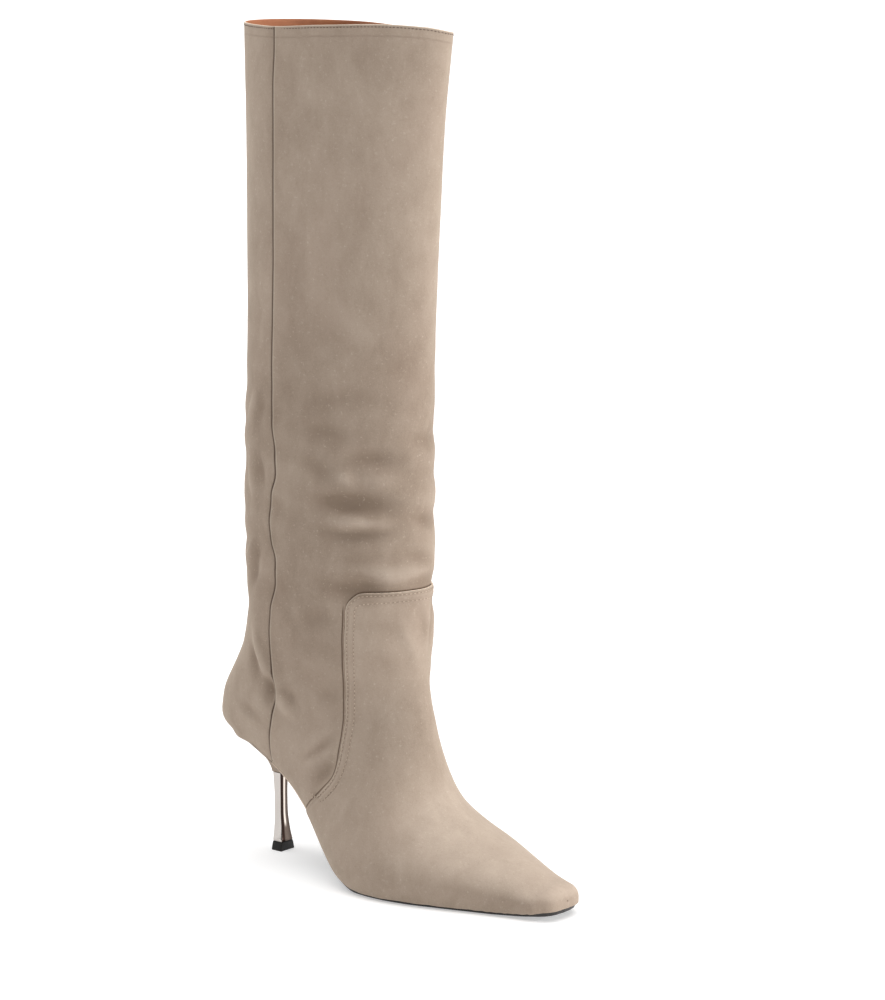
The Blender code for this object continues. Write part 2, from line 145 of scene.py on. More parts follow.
TOE_ROWS = (
    ToeRow(0.976, 0.153, 2.10),
    ToeRow(0.987, 0.140, 2.20),
    ToeRow(0.994, 0.126, 2.30),
    ToeRow(0.998, 0.112, 2.30),
    ToeRow(1.000, 0.097, 2.30),
)

# Where a section is widest, as a share from rear to front, and its exponents, where its row doesn't give them
LEG_WIDEST = 0.38
TOE_WIDEST = 0.42
ANKLE_FRONT = 1.90
TOE_REAR = 2.3

# Sole line from the side: share of the foot's length, share of the heel's rise, share of the toe's spring
SOLE_LINE = np.array([
    (0.000, 1.020, 0.00), (0.030, 1.000, 0.00), (0.145, 0.905, 0.00), (0.232, 0.744, 0.00),
    (0.319, 0.515, 0.00), (0.384, 0.300, 0.00), (0.427, 0.162, 0.00), (0.471, 0.055, 0.00),
    (0.518, 0.006, 0.00), (0.570, 0.000, 0.00), (0.840, 0.000, 0.00), (0.905, 0.000, 0.20),
    (0.961, 0.000, 0.65), (1.000, 0.000, 1.00),
])

# Sole line from above: share of the foot's length, outer and inner distances as shares of the ball's width
OUTLINE = np.array([
    (0.030, 0.000, 0.000), (0.036, 0.090, 0.090), (0.058, 0.187, 0.187), (0.103, 0.258, 0.258),
    (0.167, 0.297, 0.297), (0.254, 0.303, 0.297), (0.341, 0.350, 0.312), (0.406, 0.415, 0.355),
    (0.471, 0.482, 0.420), (0.527, 0.510, 0.470), (0.588, 0.506, 0.499), (0.653, 0.474, 0.503),
    (0.727, 0.403, 0.460), (0.787, 0.340, 0.392), (0.848, 0.275, 0.322), (0.900, 0.226, 0.258),
    (0.944, 0.194, 0.212), (0.974, 0.168, 0.182), (0.991, 0.130, 0.146), (0.998, 0.080, 0.092),
    (1.000, 0.000, 0.000),
])

# Rear edge of the vamp from the side: share of its top's height, share of the foot's length
VAMP_SIDE = np.array([
    (1.000, 0.466), (0.840, 0.456), (0.740, 0.450), (0.586, 0.441), (0.478, 0.438),
    (0.414, 0.435), (0.370, 0.429), (0.315, 0.400), (0.250, 0.352), (0.160, 0.280),
])

# Side seam from the side, collar to sole: height, X, both in millimetres
SEAM_MM = np.array([
    (448, 31), (437, 31), (415, 30), (321, 30), (278, 29), (243, 29), (227, 31), (216, 32), (204, 28.5),
    (192, 27), (180, 28), (170, 31), (158, 30), (142, 25.5), (126, 24), (106, 24), (96, 24.5), (83, 20),
    (70, 16), (60, 15), (50, 14.5),
])


def smooth(xs: Array, ys: Array, x: Array) -> Array:
    """Values at x of a smooth curve through the points, which never overshoots them.

    Args:
        xs: Rising places of the points.
        ys: Their values.
        x: Where to read the curve.

    Returns:
        The values at x.
    """
    xs, ys, x = np.asarray(xs, float), np.asarray(ys, float), np.asarray(x, float)
    step = np.diff(xs)
    slope = np.diff(ys) / step
    tangent = np.zeros(len(xs))
    tangent[0], tangent[-1] = slope[0], slope[-1]
    for i in range(1, len(xs) - 1):
        if slope[i - 1] * slope[i] > 0:
            near, far = 2 * step[i] + step[i - 1], step[i] + 2 * step[i - 1]
            tangent[i] = (near + far) / (near / slope[i - 1] + far / slope[i])
    x = np.clip(x, xs[0], xs[-1])
    i = np.clip(np.searchsorted(xs, x, side="right") - 1, 0, len(step) - 1)
    t = (x - xs[i]) / step[i]
    start = (1 + 2 * t) * ys[i] + t * step[i] * tangent[i]
    end = (3 - 2 * t) * ys[i + 1] - (1 - t) * step[i] * tangent[i + 1]
    return (1 - t) ** 2 * start + t * t * end


def ease(x: Array) -> Array:
    """A soft step from 0 at x = 0 to 1 at x = 1."""
    x = np.clip(x, 0, 1)
    return x * x * (3 - 2 * x)


def travelled(line: Array) -> Array:
    """How far along a line each of its points lies."""
    return np.concatenate([[0], np.cumsum(np.linalg.norm(np.diff(line, axis=0), axis=1))])


def along_line(values: Array, travel: Array, at: Array) -> Array:
    """A line's values, three to a point, at some distances along it.

    Args:
        values: The values at the line's points.
        travel: How far along the line its points lie.
        at: The distances to read.

    Returns:
        One row of three for each distance.
    """
    return np.stack([np.interp(at, travel, values[:, c]) for c in range(3)], axis=1)


def unit(vectors: Array) -> Array:
    """The vectors, each brought to length 1."""
    return vectors / np.linalg.norm(vectors, axis=1, keepdims=True)


@dataclass(frozen=True)
class BootForm:
    """The boot's outer form: sections from the collar down the leg, over the instep and out to the toe."""

    foot_length: float = 0.2290
    heel_set: float = 0.0335
    heel_height: float = 0.0680
    ball_width: float = 0.0755
    instep_height: float = 0.1018
    toe_spring: float = 0.0030
    ankle_height: float = 0.1550
    collar_height: float = 0.4465
    collar_dip: float = 0.0025
    ankle_lean: float = 0.23
    leg_set: float = 0.0480
    shaft_depth: float = 0.1300
    shaft_width: float = 0.0740
    upper_wall: float = 0.0018
    vamp_wall: float = 0.0012
    sole_thickness: float = 0.0026
    waist_thickness: float = 0.0016
    gap: float = 0.0003
    toe_bulge: float = 1.02
    seat_length: float = 0.0425
    corner_height: float = 0.0085
    corner_length: float = 0.0160
    corner_up: float = 0.0030
    corner_fall: float = 0.0015
    heel_middle: float = 0.0080
    hem_height: float = 0.0060
    hem_start: float = 0.0700
    hem_run: float = 0.0300

    def at_length(self, along: Array) -> Array:
        """X of a share of the foot's length from the back of the counter."""
        return np.asarray(along) * self.foot_length - self.heel_set

    def share_at(self, x: Array) -> Array:
        """The share of the foot's length from the back of the counter to X x."""
        return (np.asarray(x) + self.heel_set) / self.foot_length

    def settled(self, points: Array, hang: float, fullness: float) -> Array:
        """Points as the worn hide lies, fuller and lower round the counter's corner and over the sole's edge.

        Args:
            points: Points in any table, in metres.
            hang: How far the hem comes down over the sole's edge at the forefoot, in metres.
            fullness: How far the counter swells out round its lower corner, in metres.

        Returns:
            The moved points.
        """
        x, y, z = points[..., 0], points[..., 1], points[..., 2]
        rear_end, under_edge = -0.030, -0.0005
        above = z - self.sole_line(np.clip(x, rear_end, None))
        rearward = ease(-x / self.corner_length)
        counter = np.exp(-(above / self.corner_height) ** 2) * rearward
        reach = np.hypot(x - self.heel_middle, y) + 1e-9
        forward = ease((x - self.hem_start) / self.hem_run)
        forefoot = (1 - ease(above / self.hem_height)) * forward * (above > under_edge)
        moved = points.copy()
        swollen = fullness * np.exp(-((above - self.corner_up) / self.corner_height) ** 2) * rearward
        moved[..., 0] += swollen * (x - self.heel_middle) / reach
        moved[..., 1] += swollen * y / reach
        moved[..., 2] -= self.corner_fall * counter + hang * forefoot
        return moved

    def sole_line(self, x: Array) -> Array:
        """Height of the sole line.

        Args:
            x: Where along X.

        Returns:
            The heights.
        """
        along = self.share_at(x)
        rise = smooth(SOLE_LINE[:, 0], SOLE_LINE[:, 1], along)
        spring = smooth(SOLE_LINE[:, 0], SOLE_LINE[:, 2], along)
        low = self.sole_thickness
        return low + rise * (self.heel_height - low) + spring * self.toe_spring

    def sole_bottom(self, x: Array) -> Array:
        """Height of the outsole's lower face. It thins from the ball to the waist.

        Args:
            x: Where along X.

        Returns:
            The heights.
        """
        full = 1 - smooth(SOLE_LINE[:, 0], SOLE_LINE[:, 1], self.share_at(x))
        gain = self.sole_thickness - self.waist_thickness
        return self.sole_line(x) - (self.waist_thickness + gain * np.maximum(2 * full - 1, 0))

    def outline(self, x: Array, side: Side) -> Array:
        """Distance of the sole line from the centre line at X x."""
        column = 1 if side is Side.OUTER else 2
        return self.ball_width * smooth(OUTLINE[:, 0], OUTLINE[:, column], self.share_at(x))

    def rows(self) -> Array:
        """The tables as absolute sections.

        Returns:
            One row per section: rear X and Z, front X and Z, outer and inner half-width, place of the full
            width, rear and front exponent.
        """
        rows = []
        lean = self.ankle_lean * (self.instep_height - self.heel_height)
        for leg in LEG_ROWS:
            height = self.ankle_height + leg.up * (self.collar_height - self.ankle_height)
            front = height + (1 - leg.up) ** 2 * lean - leg.up * self.collar_dip
            half = leg.half_width * self.shaft_width
            rows.append((self.leg_set - leg.behind * self.shaft_depth, height,
                         self.leg_set + leg.ahead * self.shaft_depth, front, half, half,
                         LEG_WIDEST, leg.rear, leg.front))
        for ankle in ANKLE_ROWS:
            half = ankle.half_width * self.shaft_width
            front_top = self.ankle_height + lean
            rows.append((
                float(self.at_length(ankle.rear_along)),
                self.heel_height + ankle.rear_up * (self.ankle_height - self.heel_height),
                float(self.at_length(ankle.front_along)),
                self.instep_height + ankle.front_up * (front_top - self.instep_height),
                half, half, ankle.widest, ankle.rear, ANKLE_FRONT))
        for foot in FOOT_ROWS:
            x = float(self.at_length(foot.rear_along))
            rows.append((x, float(self.sole_line(x)) + self.gap, float(self.at_length(foot.front_along)),
                         foot.front_up * self.instep_height, foot.outer * self.ball_width,
                         foot.inner * self.ball_width, foot.widest, foot.rear, foot.front))
        for toe in TOE_ROWS:
            x = float(self.at_length(toe.along))
            widths = [self.toe_bulge * float(self.outline(x, side)) for side in Side]
            rows.append((x, float(self.sole_line(x)) + self.gap, x, toe.front_up * self.instep_height,
                         *widths, TOE_WIDEST, TOE_REAR, toe.front))
        return np.array(rows)

    @property
    def first_open(self) -> int:
        """Number of the first section that is open along the sole line."""
        return len(LEG_ROWS) + len(ANKLE_ROWS)

    def half_section(self, row: Array, place: float, side: Side, count: int) -> Array:
        """Points of one side of a section, evenly spaced from its rear or lower edge to its front.

        Args:
            row: The section's nine numbers, as rows() gives them.
            place: Its number among the sections, which tells whether it is open.
            side: Which side.
            count: How many points.

        Returns:
            The points, with Y on the side's own sign.
        """
        rear_x, rear_z, front_x, front_z, outer, inner, widest, rear_power, front_power = row
        rear = np.array([rear_x, rear_z])
        along = np.array([front_x, front_z]) - rear
        width = outer if side is Side.OUTER else inner
        edge = float(self.outline(rear_x, side)) if place >= self.first_open else 0.0
        fine, widest_start = 200, 0.995
        if width < 1e-6:
            share, across = np.linspace(0, 1, fine), np.zeros(fine)
        else:
            start = math.asin(min(edge / width, widest_start) ** (rear_power / 2))
            low = np.linspace(start, math.pi / 2, fine)
            high = np.linspace(0, math.pi / 2, fine)[1:]
            reach = widest / math.cos(start) ** (2 / rear_power)
            share = np.concatenate([widest - reach * np.abs(np.cos(low)) ** (2 / rear_power),
                                    widest + (1 - widest) * np.sin(high) ** (2 / front_power)])
            across = width * np.concatenate([
                np.sin(low) ** (2 / rear_power), np.abs(np.cos(high)) ** (2 / front_power)])
            across[-1] = 0
        steps = np.hypot(np.diff(share) * np.linalg.norm(along), np.diff(across))
        travel = np.concatenate([[0], np.cumsum(steps)])
        even = np.linspace(0, travel[-1], count)
        share, across = np.interp(even, travel, share), np.interp(even, travel, across)
        flat = rear + share[:, None] * along
        return np.stack([flat[:, 0], side.value * across, flat[:, 1]], axis=1)


class Skin:
    """The boot's outer surface as a fine table, read by place, from collar to toe, and turn.

    turn runs from -1 at the outer side's rear or lower edge over 0 at the front to 1 at the inner side's.
    """

    def __init__(self, form: BootForm, step: float = 0.0012, half: int = 110) -> None:
        """Work the table out.

        Args:
            form: The boot's form.
            step: Distance between the table's sections at most.
            half: Steps between edge and front.
        """
        self.form = form
        rows = form.rows()
        numbers = np.arange(len(rows))
        places = [0.0]
        for i in range(len(rows) - 1):
            moved = rows[i + 1] - rows[i]
            reach = max(np.hypot(*moved[:2]), np.hypot(*moved[2:4]))
            steps = max(int(math.ceil(reach / step)), 2)
            places += [i + (k + 1) / steps for k in range(steps)]
        self.places = np.array(places)
        fine = np.stack([smooth(numbers, rows[:, c], self.places) for c in range(rows.shape[1])], axis=1)
        lower = self.places >= form.first_open
        fine[lower, 1] = form.sole_line(fine[lower, 0]) + form.gap
        self.turns = np.linspace(-1, 1, 2 * half + 1)
        table = []
        for row, place in zip(fine, self.places):
            outer = form.half_section(row, place, Side.OUTER, half + 1)
            inner = form.half_section(row, place, Side.INNER, half + 1)
            table.append(np.vstack([outer, inner[-2::-1]]))
        self.table = self.relaxed(np.array(table))
        self.half_arc = np.linalg.norm(np.diff(self.table[:, :half + 1], axis=1), axis=2).sum(axis=1)
        self.last = float(self.places[-1])

    @staticmethod
    def relaxed(table: Array) -> Array:
        """The table with the slight ripple between its rows eased away, and its ends kept.

        Args:
            table: Points by place and turn.

        Returns:
            The eased points.
        """
        eased = table.copy()
        first, last, passes, pull = 3, len(table) - 24, 40, 0.35
        for _ in range(passes):
            middle = eased[first:last]
            neighbours = 0.5 * (eased[first - 1:last - 1] + eased[first + 1:last + 1])
            eased[first:last] = middle + pull * (neighbours - middle)
        return eased

    def points(self, place: Array, turn: Array) -> Array:
        """Points of the surface.

        Args:
            place: Places, of any shape.
            turn: Turns, of the same shape.

        Returns:
            Points, with one more axis of three.
        """
        place, turn = np.broadcast_arrays(np.asarray(place, float), np.asarray(turn, float))
        row = np.interp(place, self.places, np.arange(len(self.places)))
        column = np.clip((turn + 1) / 2, 0, 1) * (len(self.turns) - 1)
        i = np.clip(row.astype(int), 0, len(self.places) - 2)
        j = np.clip(column.astype(int), 0, len(self.turns) - 2)
        a, b = (row - i)[..., None], (column - j)[..., None]
        t = self.table
        above = (1 - b) * t[i, j] + b * t[i, j + 1]
        below = (1 - b) * t[i + 1, j] + b * t[i + 1, j + 1]
        return (1 - a) * above + a * below

    def normals(self, place: Array, turn: Array) -> Array:
        """Outward normals of the surface.

        Args:
            place: Places, of any shape.
            turn: Turns, of the same shape.

        Returns:
            Normals of length 1, with one more axis of three.
        """
        place, turn = np.broadcast_arrays(np.asarray(place, float), np.asarray(turn, float))
        down_step, round_step = 0.03, 0.012
        below = self.points(np.minimum(place + down_step, self.last), turn)
        down = below - self.points(np.maximum(place - down_step, 0), turn)
        closed = place < self.form.first_open - 0.5
        over = turn + round_step
        under = turn - round_step
        after = self.points(place, np.where(closed & (over > 1), over - 2, np.minimum(over, 1)))
        before = self.points(place, np.where(closed & (under < -1), under + 2, np.maximum(under, -1)))
        normal = np.cross(down, after - before)
        length = np.linalg.norm(normal, axis=-1, keepdims=True)
        return normal / np.maximum(length, 1e-12)

    def arc(self, place: Array) -> Array:
        """Length of half a section at a place, from its edge to its front."""
        return np.interp(place, self.places, self.half_arc)

    def place_at(self, turn: float, inside: Callable[[Array], Array]) -> float:
        """The first place along one turn where a test of the points rises through zero.

        Args:
            turn: The turn to follow.
            inside: Gives a number for each point, negative before the place.

        Returns:
            The place.
        """
        values = inside(self.points(self.places, np.full(len(self.places), turn)))
        found = int(np.argmax(values > 0))
        if found == 0:
            return float(self.places[0])
        share = values[found - 1] / (values[found - 1] - values[found])
        return float(self.places[found - 1] + share * (self.places[found] - self.places[found - 1]))


class Fold(NamedTuple):
    """One soft line over the skin: a trough where depth is positive, a ridge where it is negative.

    path holds points in millimetres, depth and width are in millimetres, and width is half the trough's.
    """

    depth: float
    width: float
    path: tuple[tuple[float, float, float], ...]


# Outer side of the shaft, from the calf's creases down to the vamp's top
SHAFT_FOLDS = (
    Fold(0.45, 6.0, ((48, -35, 254), (75, -28, 258), (96, -14, 256))),
    Fold(0.55, 6.0, ((38, -36, 235), (60, -33, 240), (80, -25, 238))),
    Fold(0.80, 5.5, ((66, -31, 225), (86, -23, 228), (99, -8, 226))),
    Fold(0.60, 6.5, ((48, -36, 226), (57, -34, 220), (68, -31, 210))),
    Fold(-0.75, 4.0, ((66, -32, 214), (72, -30, 218), (78, -27, 215))),
    Fold(-0.45, 5.0, ((78, -27, 218), (90, -20, 216), (99, -10, 219))),
    Fold(1.55, 7.0, ((42, -36, 200), (65, -32, 204), (85, -23, 205), (100, -7, 201))),
    Fold(-0.85, 4.2, ((56, -34, 193), (75, -28, 196), (97, -13, 194))),
    Fold(0.95, 4.6, ((48, -36, 192), (68, -31, 187), (85, -23, 188), (99, -10, 192))),
    Fold(0.85, 4.5, ((96, -14, 180), (102, -1, 175), (98, 10, 173))),
    Fold(-0.85, 6.0, ((74, -28, 170), (91, -19, 167), (102, -1, 168), (98, 10, 168))),
    Fold(1.10, 6.5, ((54, -34, 162), (67, -31, 158), (81, -25, 160), (97, -12, 164))),
    Fold(1.10, 4.6, ((96, -13, 238), (102, -2, 236), (100, 10, 236), (92, 19, 238))),
    Fold(1.20, 4.8, ((97, -13, 202), (102, 0, 196), (99, 11, 194), (90, 21, 196))),
)

# Ankle, quarter and counter, on the outer side
ANKLE_FOLDS = (
    Fold(0.45, 6.0, ((40, -35, 139), (58, -32, 142), (70, -30, 145))),
    Fold(0.55, 6.0, ((48, -29, 98), (57, -26, 100), (67, -24, 101))),
    Fold(-0.65, 3.6, ((34, -28, 65), (48, -25, 74), (62, -25, 84))),
    Fold(0.75, 3.8, ((39, -28, 60), (52, -26, 70), (66, -25, 80))),
    Fold(-0.60, 3.2, ((40, -28, 57), (52, -27, 66), (65, -26, 73))),
    Fold(0.85, 4.6, ((44, -29, 48), (58, -29, 59), (64, -27, 71))),
    Fold(-0.85, 3.8, ((26, -32, 100), (29, -30, 91), (34, -28, 82))),
    Fold(0.55, 4.5, ((30, -32, 103), (34, -30, 96), (38, -29, 90))),
    Fold(1.30, 4.2, ((20, -33, 108), (21, -32, 98), (21, -30, 88))),
    Fold(-0.95, 3.0, ((7, -30, 133), (13, -33, 123), (19, -33, 111), (23, -32, 100))),
    Fold(0.90, 4.2, ((4, -29, 124), (10, -32, 114), (16, -32, 99))),
    Fold(-0.55, 3.2, ((9, -31, 99), (14, -31, 90), (19, -29, 81))),
    Fold(0.60, 5.0, ((-8, -22, 88), (3, -28, 84), (12, -29, 77))),
)

# Front of the ankle, over the vamp's top: a notch, a bright facet, the dent beside it and the crest's crease
FRONT_FOLDS = (
    Fold(0.90, 4.5, ((94, -16, 162), (102, -3, 163), (100, 8, 162), (94, 18, 162))),
    Fold(1.20, 8.5, ((102, 0, 154), (99, 9, 153), (92, 19, 153), (80, 27, 154))),
    Fold(-0.40, 4.0, ((95, -16, 147), (98, -11, 135), (100, -6, 125), (100, -2, 113))),
    Fold(0.55, 4.0, ((100, -8, 152), (102, -2, 143), (101, 1, 134), (100, 2, 124))),
    Fold(0.50, 2.4, ((102, 4, 157), (101, 6, 148), (100, 6, 138), (100, 4, 120))),
)

# Back of the leg, on the outer side, behind the seam
BACK_FOLDS = (
    Fold(-0.60, 3.2, ((17, -34, 263), (12, -33, 250), (6, -30, 237))),
    Fold(0.65, 4.2, ((22, -35, 260), (19, -35, 246), (16, -34, 233))),
    Fold(-0.60, 3.0, ((6, -31, 229), (11, -33, 209), (15, -35, 195))),
    Fold(0.80, 4.4, ((17, -35, 228), (20, -36, 214), (23, -36, 202))),
    Fold(-0.85, 2.8, ((17, -35, 182), (8, -32, 170), (1, -27, 161))),
    Fold(1.05, 5.0, ((21, -36, 180), (11, -32, 159), (6, -29, 144))),
    Fold(0.70, 5.0, ((-10, -10, 178), (-12, 0, 174), (-10, 10, 177))),
    Fold(-0.60, 4.5, ((-6, -17, 166), (-11, -4, 163), (-9, 9, 166))),
    Fold(0.90, 5.0, ((-4, -20, 153), (-11, -3, 150), (-7, 14, 154))),
    Fold(0.60, 5.0, ((-12, -8, 216), (-13, 2, 212), (-10, 12, 215))),
)

# Inner side, much as the outer side but never its mirror image
INNER_FOLDS = (
    Fold(0.50, 6.0, ((42, 36, 249), (68, 30, 253), (92, 18, 251))),
    Fold(1.20, 6.5, ((36, 37, 221), (62, 33, 217), (88, 22, 219), (99, 9, 216))),
    Fold(-0.70, 4.5, ((46, 36, 211), (70, 30, 208), (92, 18, 209))),
    Fold(1.30, 6.5, ((44, 36, 193), (66, 32, 196), (86, 23, 193))),
    Fold(-0.70, 4.5, ((42, 36, 184), (62, 33, 185), (84, 24, 182))),
    Fold(0.90, 5.5, ((48, 36, 173), (70, 30, 171), (88, 21, 174))),
    Fold(0.80, 6.0, ((40, 36, 160), (58, 33, 156), (74, 28, 158))),
    Fold(0.60, 4.0, ((12, 33, 246), (17, 35, 232), (20, 36, 218))),
    Fold(-0.60, 3.2, ((6, 31, 240), (11, 33, 224), (14, 34, 210))),
    Fold(0.95, 4.6, ((22, 36, 186), (14, 34, 168), (6, 30, 152))),
    Fold(-0.80, 3.2, ((8, 31, 136), (15, 33, 122), (20, 33, 108))),
    Fold(1.10, 4.4, ((15, 33, 112), (19, 32, 100), (21, 30, 88))),
    Fold(0.70, 5.0, ((42, 28, 52), (54, 27, 61), (62, 26, 70))),
    Fold(-0.60, 4.0, ((36, 28, 62), (48, 26, 72), (60, 25, 80))),
)

# Rise of the collar's rim: share from rear to front, millimetres on the outer and on the inner side
COLLAR_WAVE = np.array([
    (0.00, 0.0, 0.0), (0.34, 0.0, 0.0), (0.56, 2.2, -0.8), (0.80, 3.9, -1.4), (0.92, 3.0, -0.6),
    (1.00, 0.8, 0.8),
])

# Where the drift's noise is read for X, Y and Z, so that each wanders its own way
DRIFT_OFFSETS = (Vector((0, 0, 0)), Vector((31.4, 7.2, 0)), Vector((0, 19.6, 53.8)))


class Relief:
    """How far the worn surface stands out from the plain form: folds, a slow swell and the side seams."""

    fold_scale: float = 2.3
    broad_drift: float = 0.0017
    fine_drift: float = 0.0007
    worn_height: float = 0.19
    worn_spread: float = 0.085
    collar_fade: float = 0.020
    sole_fade: float = 0.012
    collar_sway: float = 0.075
    no_seam_mm: float = 60.0

    def __init__(self, skin: Skin) -> None:
        """Work out the seam and lay the folds.

        Args:
            skin: The boot's outer surface.
        """
        self.skin = skin
        self.folds = (*SHAFT_FOLDS, *ANKLE_FOLDS, *FRONT_FOLDS, *BACK_FOLDS, *INNER_FOLDS)
        self.seam_shares = {side: self.seam_share(side) for side in Side}
        crossed = self.seam_shares[Side.OUTER] > 0
        self.seam_end = float(skin.places[np.nonzero(crossed)[0][-1]])

    def seam_share(self, side: Side) -> Array:
        """Where the side seam crosses each section, as a share from its rear edge to its front.

        Args:
            side: Which side's seam.

        Returns:
            A share for each of the skin's places, 0 below the seam's end.
        """
        half = len(self.skin.turns) // 2
        columns = self.skin.table[:, :half + 1] if side is Side.OUTER else self.skin.table[:, :half - 1:-1]
        up = SEAM_MM[::-1]
        line = smooth(up[:, 0], up[:, 1], columns[..., 2] / MM) * MM
        ahead = columns[..., 0] - line
        crossing = np.argmax(ahead > 0, axis=1)
        shares = np.zeros(len(columns))
        for i, k in enumerate(crossing):
            if k > 0:
                before, after = ahead[i, k - 1], ahead[i, k]
                shares[i] = (k - 1 + before / (before - after)) / half
        return shares

    def seam_distance(self, place: Array, turn: Array) -> Array:
        """Distance over the surface from the side seam.

        Args:
            place: Places.
            turn: Turns.

        Returns:
            Millimetres, positive in front of the seam, and no_seam_mm where the seam has ended.
        """
        share = 1 - np.abs(turn)
        outer, inner = (np.interp(place, self.skin.places, self.seam_shares[side]) for side in Side)
        distance = (share - np.where(turn < 0, outer, inner)) * self.skin.arc(place) / MM
        return np.where(place > self.seam_end, self.no_seam_mm, distance)

    def fold_depth(self, points: Array) -> Array:
        """How deep the folds lie at some points, positive inwards, in millimetres.

        Args:
            points: Points on the skin, one per row, in metres.

        Returns:
            Depths.
        """
        at = (points + self.drift(points)) / MM
        total = np.zeros(len(at))
        for fold in self.folds:
            path = np.array(fold.path)
            length = travelled(path)
            travel = np.linspace(0, length[-1], max(int(length[-1] / 1.2), 6))
            line = np.stack([smooth(length, path[:, c], travel) for c in range(3)], axis=1)
            reach = 2.6 * fold.width + 4
            low, high = line.min(axis=0) - reach, line.max(axis=0) + reach
            near = np.nonzero(np.all((at > low) & (at < high), axis=1))[0]
            if len(near) == 0:
                continue
            gaps = np.linalg.norm(at[near, None] - line[None], axis=2)
            closest = gaps.argmin(axis=1)
            far = gaps[np.arange(len(near)), closest] / fold.width
            along = closest / (len(line) - 1)
            ends = ease(np.minimum(along, 1 - along) / 0.50 + 0.06)
            far = far / (0.80 + 0.20 * ends)
            trough = (1 - 0.45 * far ** 2) * np.exp(-0.85 * far ** 2)
            total[near] += self.fold_scale * fold.depth * ends * trough
        return total

    def drift(self, points: Array) -> Array:
        """A slow wandering of the folds over the skin, so that none runs straight.

        Args:
            points: Points on the skin, one per row, in metres.

        Returns:
            How far each point wanders, in metres.
        """
        out = np.empty((len(points), 3))
        for i, (x, y, z) in enumerate(points):
            broad = Vector((x * 34, y * 34 + 5, z * 44))
            fine = Vector((x * 90, y * 90, z * 110 + 3))
            for axis, apart in enumerate(DRIFT_OFFSETS):
                slow, quick = noise.noise(broad + apart), noise.noise(fine + apart)
                out[i, axis] = self.broad_drift * slow + self.fine_drift * quick
        return out

    def swell(self, points: Array) -> Array:
        """A slow unevenness of soft leather, strongest about the calf and ankle.

        Args:
            points: Points on the skin, one per row, in metres.

        Returns:
            How far each stands out, in millimetres.
        """
        out = np.empty((len(points), 3))
        for i, (x, y, z) in enumerate(points):
            broad = noise.noise(Vector((x * 26, y * 26, z * 20)))
            fine = noise.noise(Vector((x * 70 + 9, y * 70, z * 85)))
            wrinkle = noise.noise(Vector((x * 22, y * 22 + 3, z * 88 + x * 14)))
            out[i] = broad, fine, wrinkle
        broad, fine, wrinkle = out.T
        worn = np.exp(-((points[:, 2] - self.worn_height) / self.worn_spread) ** 2)
        return (0.45 * broad + 0.20 * fine) * (0.45 + 0.55 * worn) + 1.15 * worn * wrinkle

    def height(self, place: Array, turn: Array, points: Array) -> Array:
        """How far the surface stands out at places, in metres.

        Args:
            place: Places.
            turn: Turns.
            points: The plain points there.

        Returns:
            Heights, positive outwards, fading to nothing along the sole line and at the collar.
        """
        shape = place.shape
        flat = points.reshape(-1, 3)
        depth = self.fold_depth(flat)
        rise = self.swell(flat) - depth
        place, turn = place.ravel(), turn.ravel()
        opened = ease((place - self.skin.form.first_open + 0.5) / 0.5)
        edge = (1 - opened) + opened * (1 - np.abs(turn)) * self.skin.arc(place)
        collar = (self.skin.form.collar_height - flat[:, 2]) / self.collar_fade
        toe = 1 - 0.75 * ease((flat[:, 0] - 0.09) / 0.05)
        rise = rise * ease(edge / self.sole_fade) * ease(collar) * toe
        return (rise * MM).reshape(shape)

    def collar_rise(self, turn: Array, points: Array) -> Array:
        """How far the collar's rim waves up or down, in metres, fading down the leg.

        Args:
            turn: Turns.
            points: The plain points there.

        Returns:
            Rises.
        """
        share = 1 - np.abs(turn)
        outer, inner = (smooth(COLLAR_WAVE[:, 0], COLLAR_WAVE[:, c], share) for c in (1, 2))
        wave = np.where(turn < 0, outer, inner)
        drop = (self.skin.form.collar_height - points[..., 2]) / self.collar_sway
        return wave * MM * (1 - ease(drop))

    def lap(self, place: Array, turn: Array) -> Array:
        """The front panel's lap over the back strip at the side seams.

        Args:
            place: Places.
            turn: Turns.

        Returns:
            How far the surface stands out for it, in metres.
        """
        distance = self.seam_distance(place, turn)
        lapped, sunk, half_step, felt = 0.42, -0.75, 0.30, 50
        ahead = lapped * np.exp(-np.maximum(distance, 0) / 6.0)
        behind = sunk * np.exp(-np.maximum(-distance, 0) / 1.8)
        share = ease((distance + half_step) / (2 * half_step))
        return (behind + (ahead - behind) * share) * np.where(distance > felt, 0, 1) * MM


def deselect_all() -> None:
    """Leave nothing selected and no object in edit mode."""
    if bpy.context.object and bpy.context.object.mode != "OBJECT":
        bpy.ops.object.mode_set(mode="OBJECT")
    bpy.ops.object.select_all(action="DESELECT")


def make_active(piece: bpy.types.Object) -> None:
    """Select one object alone and make it the active one.

    Args:
        piece: The object.
    """
    deselect_all()
    piece.select_set(True)
    bpy.context.view_layer.objects.active = piece


def read_vectors(items: bpy.types.bpy_prop_collection, key: str) -> Array:
    """What all vertices, or all items of an attribute, keep under one name, three numbers to a row.

    Args:
        items: The vertices or the attribute's items.
        key: The name of what they keep.

    Returns:
        One row for each.
    """
    out = np.empty(len(items) * 3, np.float32)
    items.foreach_get(key, out)
    return out.reshape(-1, 3)


def place_vertices(piece: bpy.types.Object, points: Array) -> None:
    """Put every vertex of a mesh at its point."""
    piece.data.vertices.foreach_set("co", np.asarray(points, np.float32).ravel())
    piece.data.update()


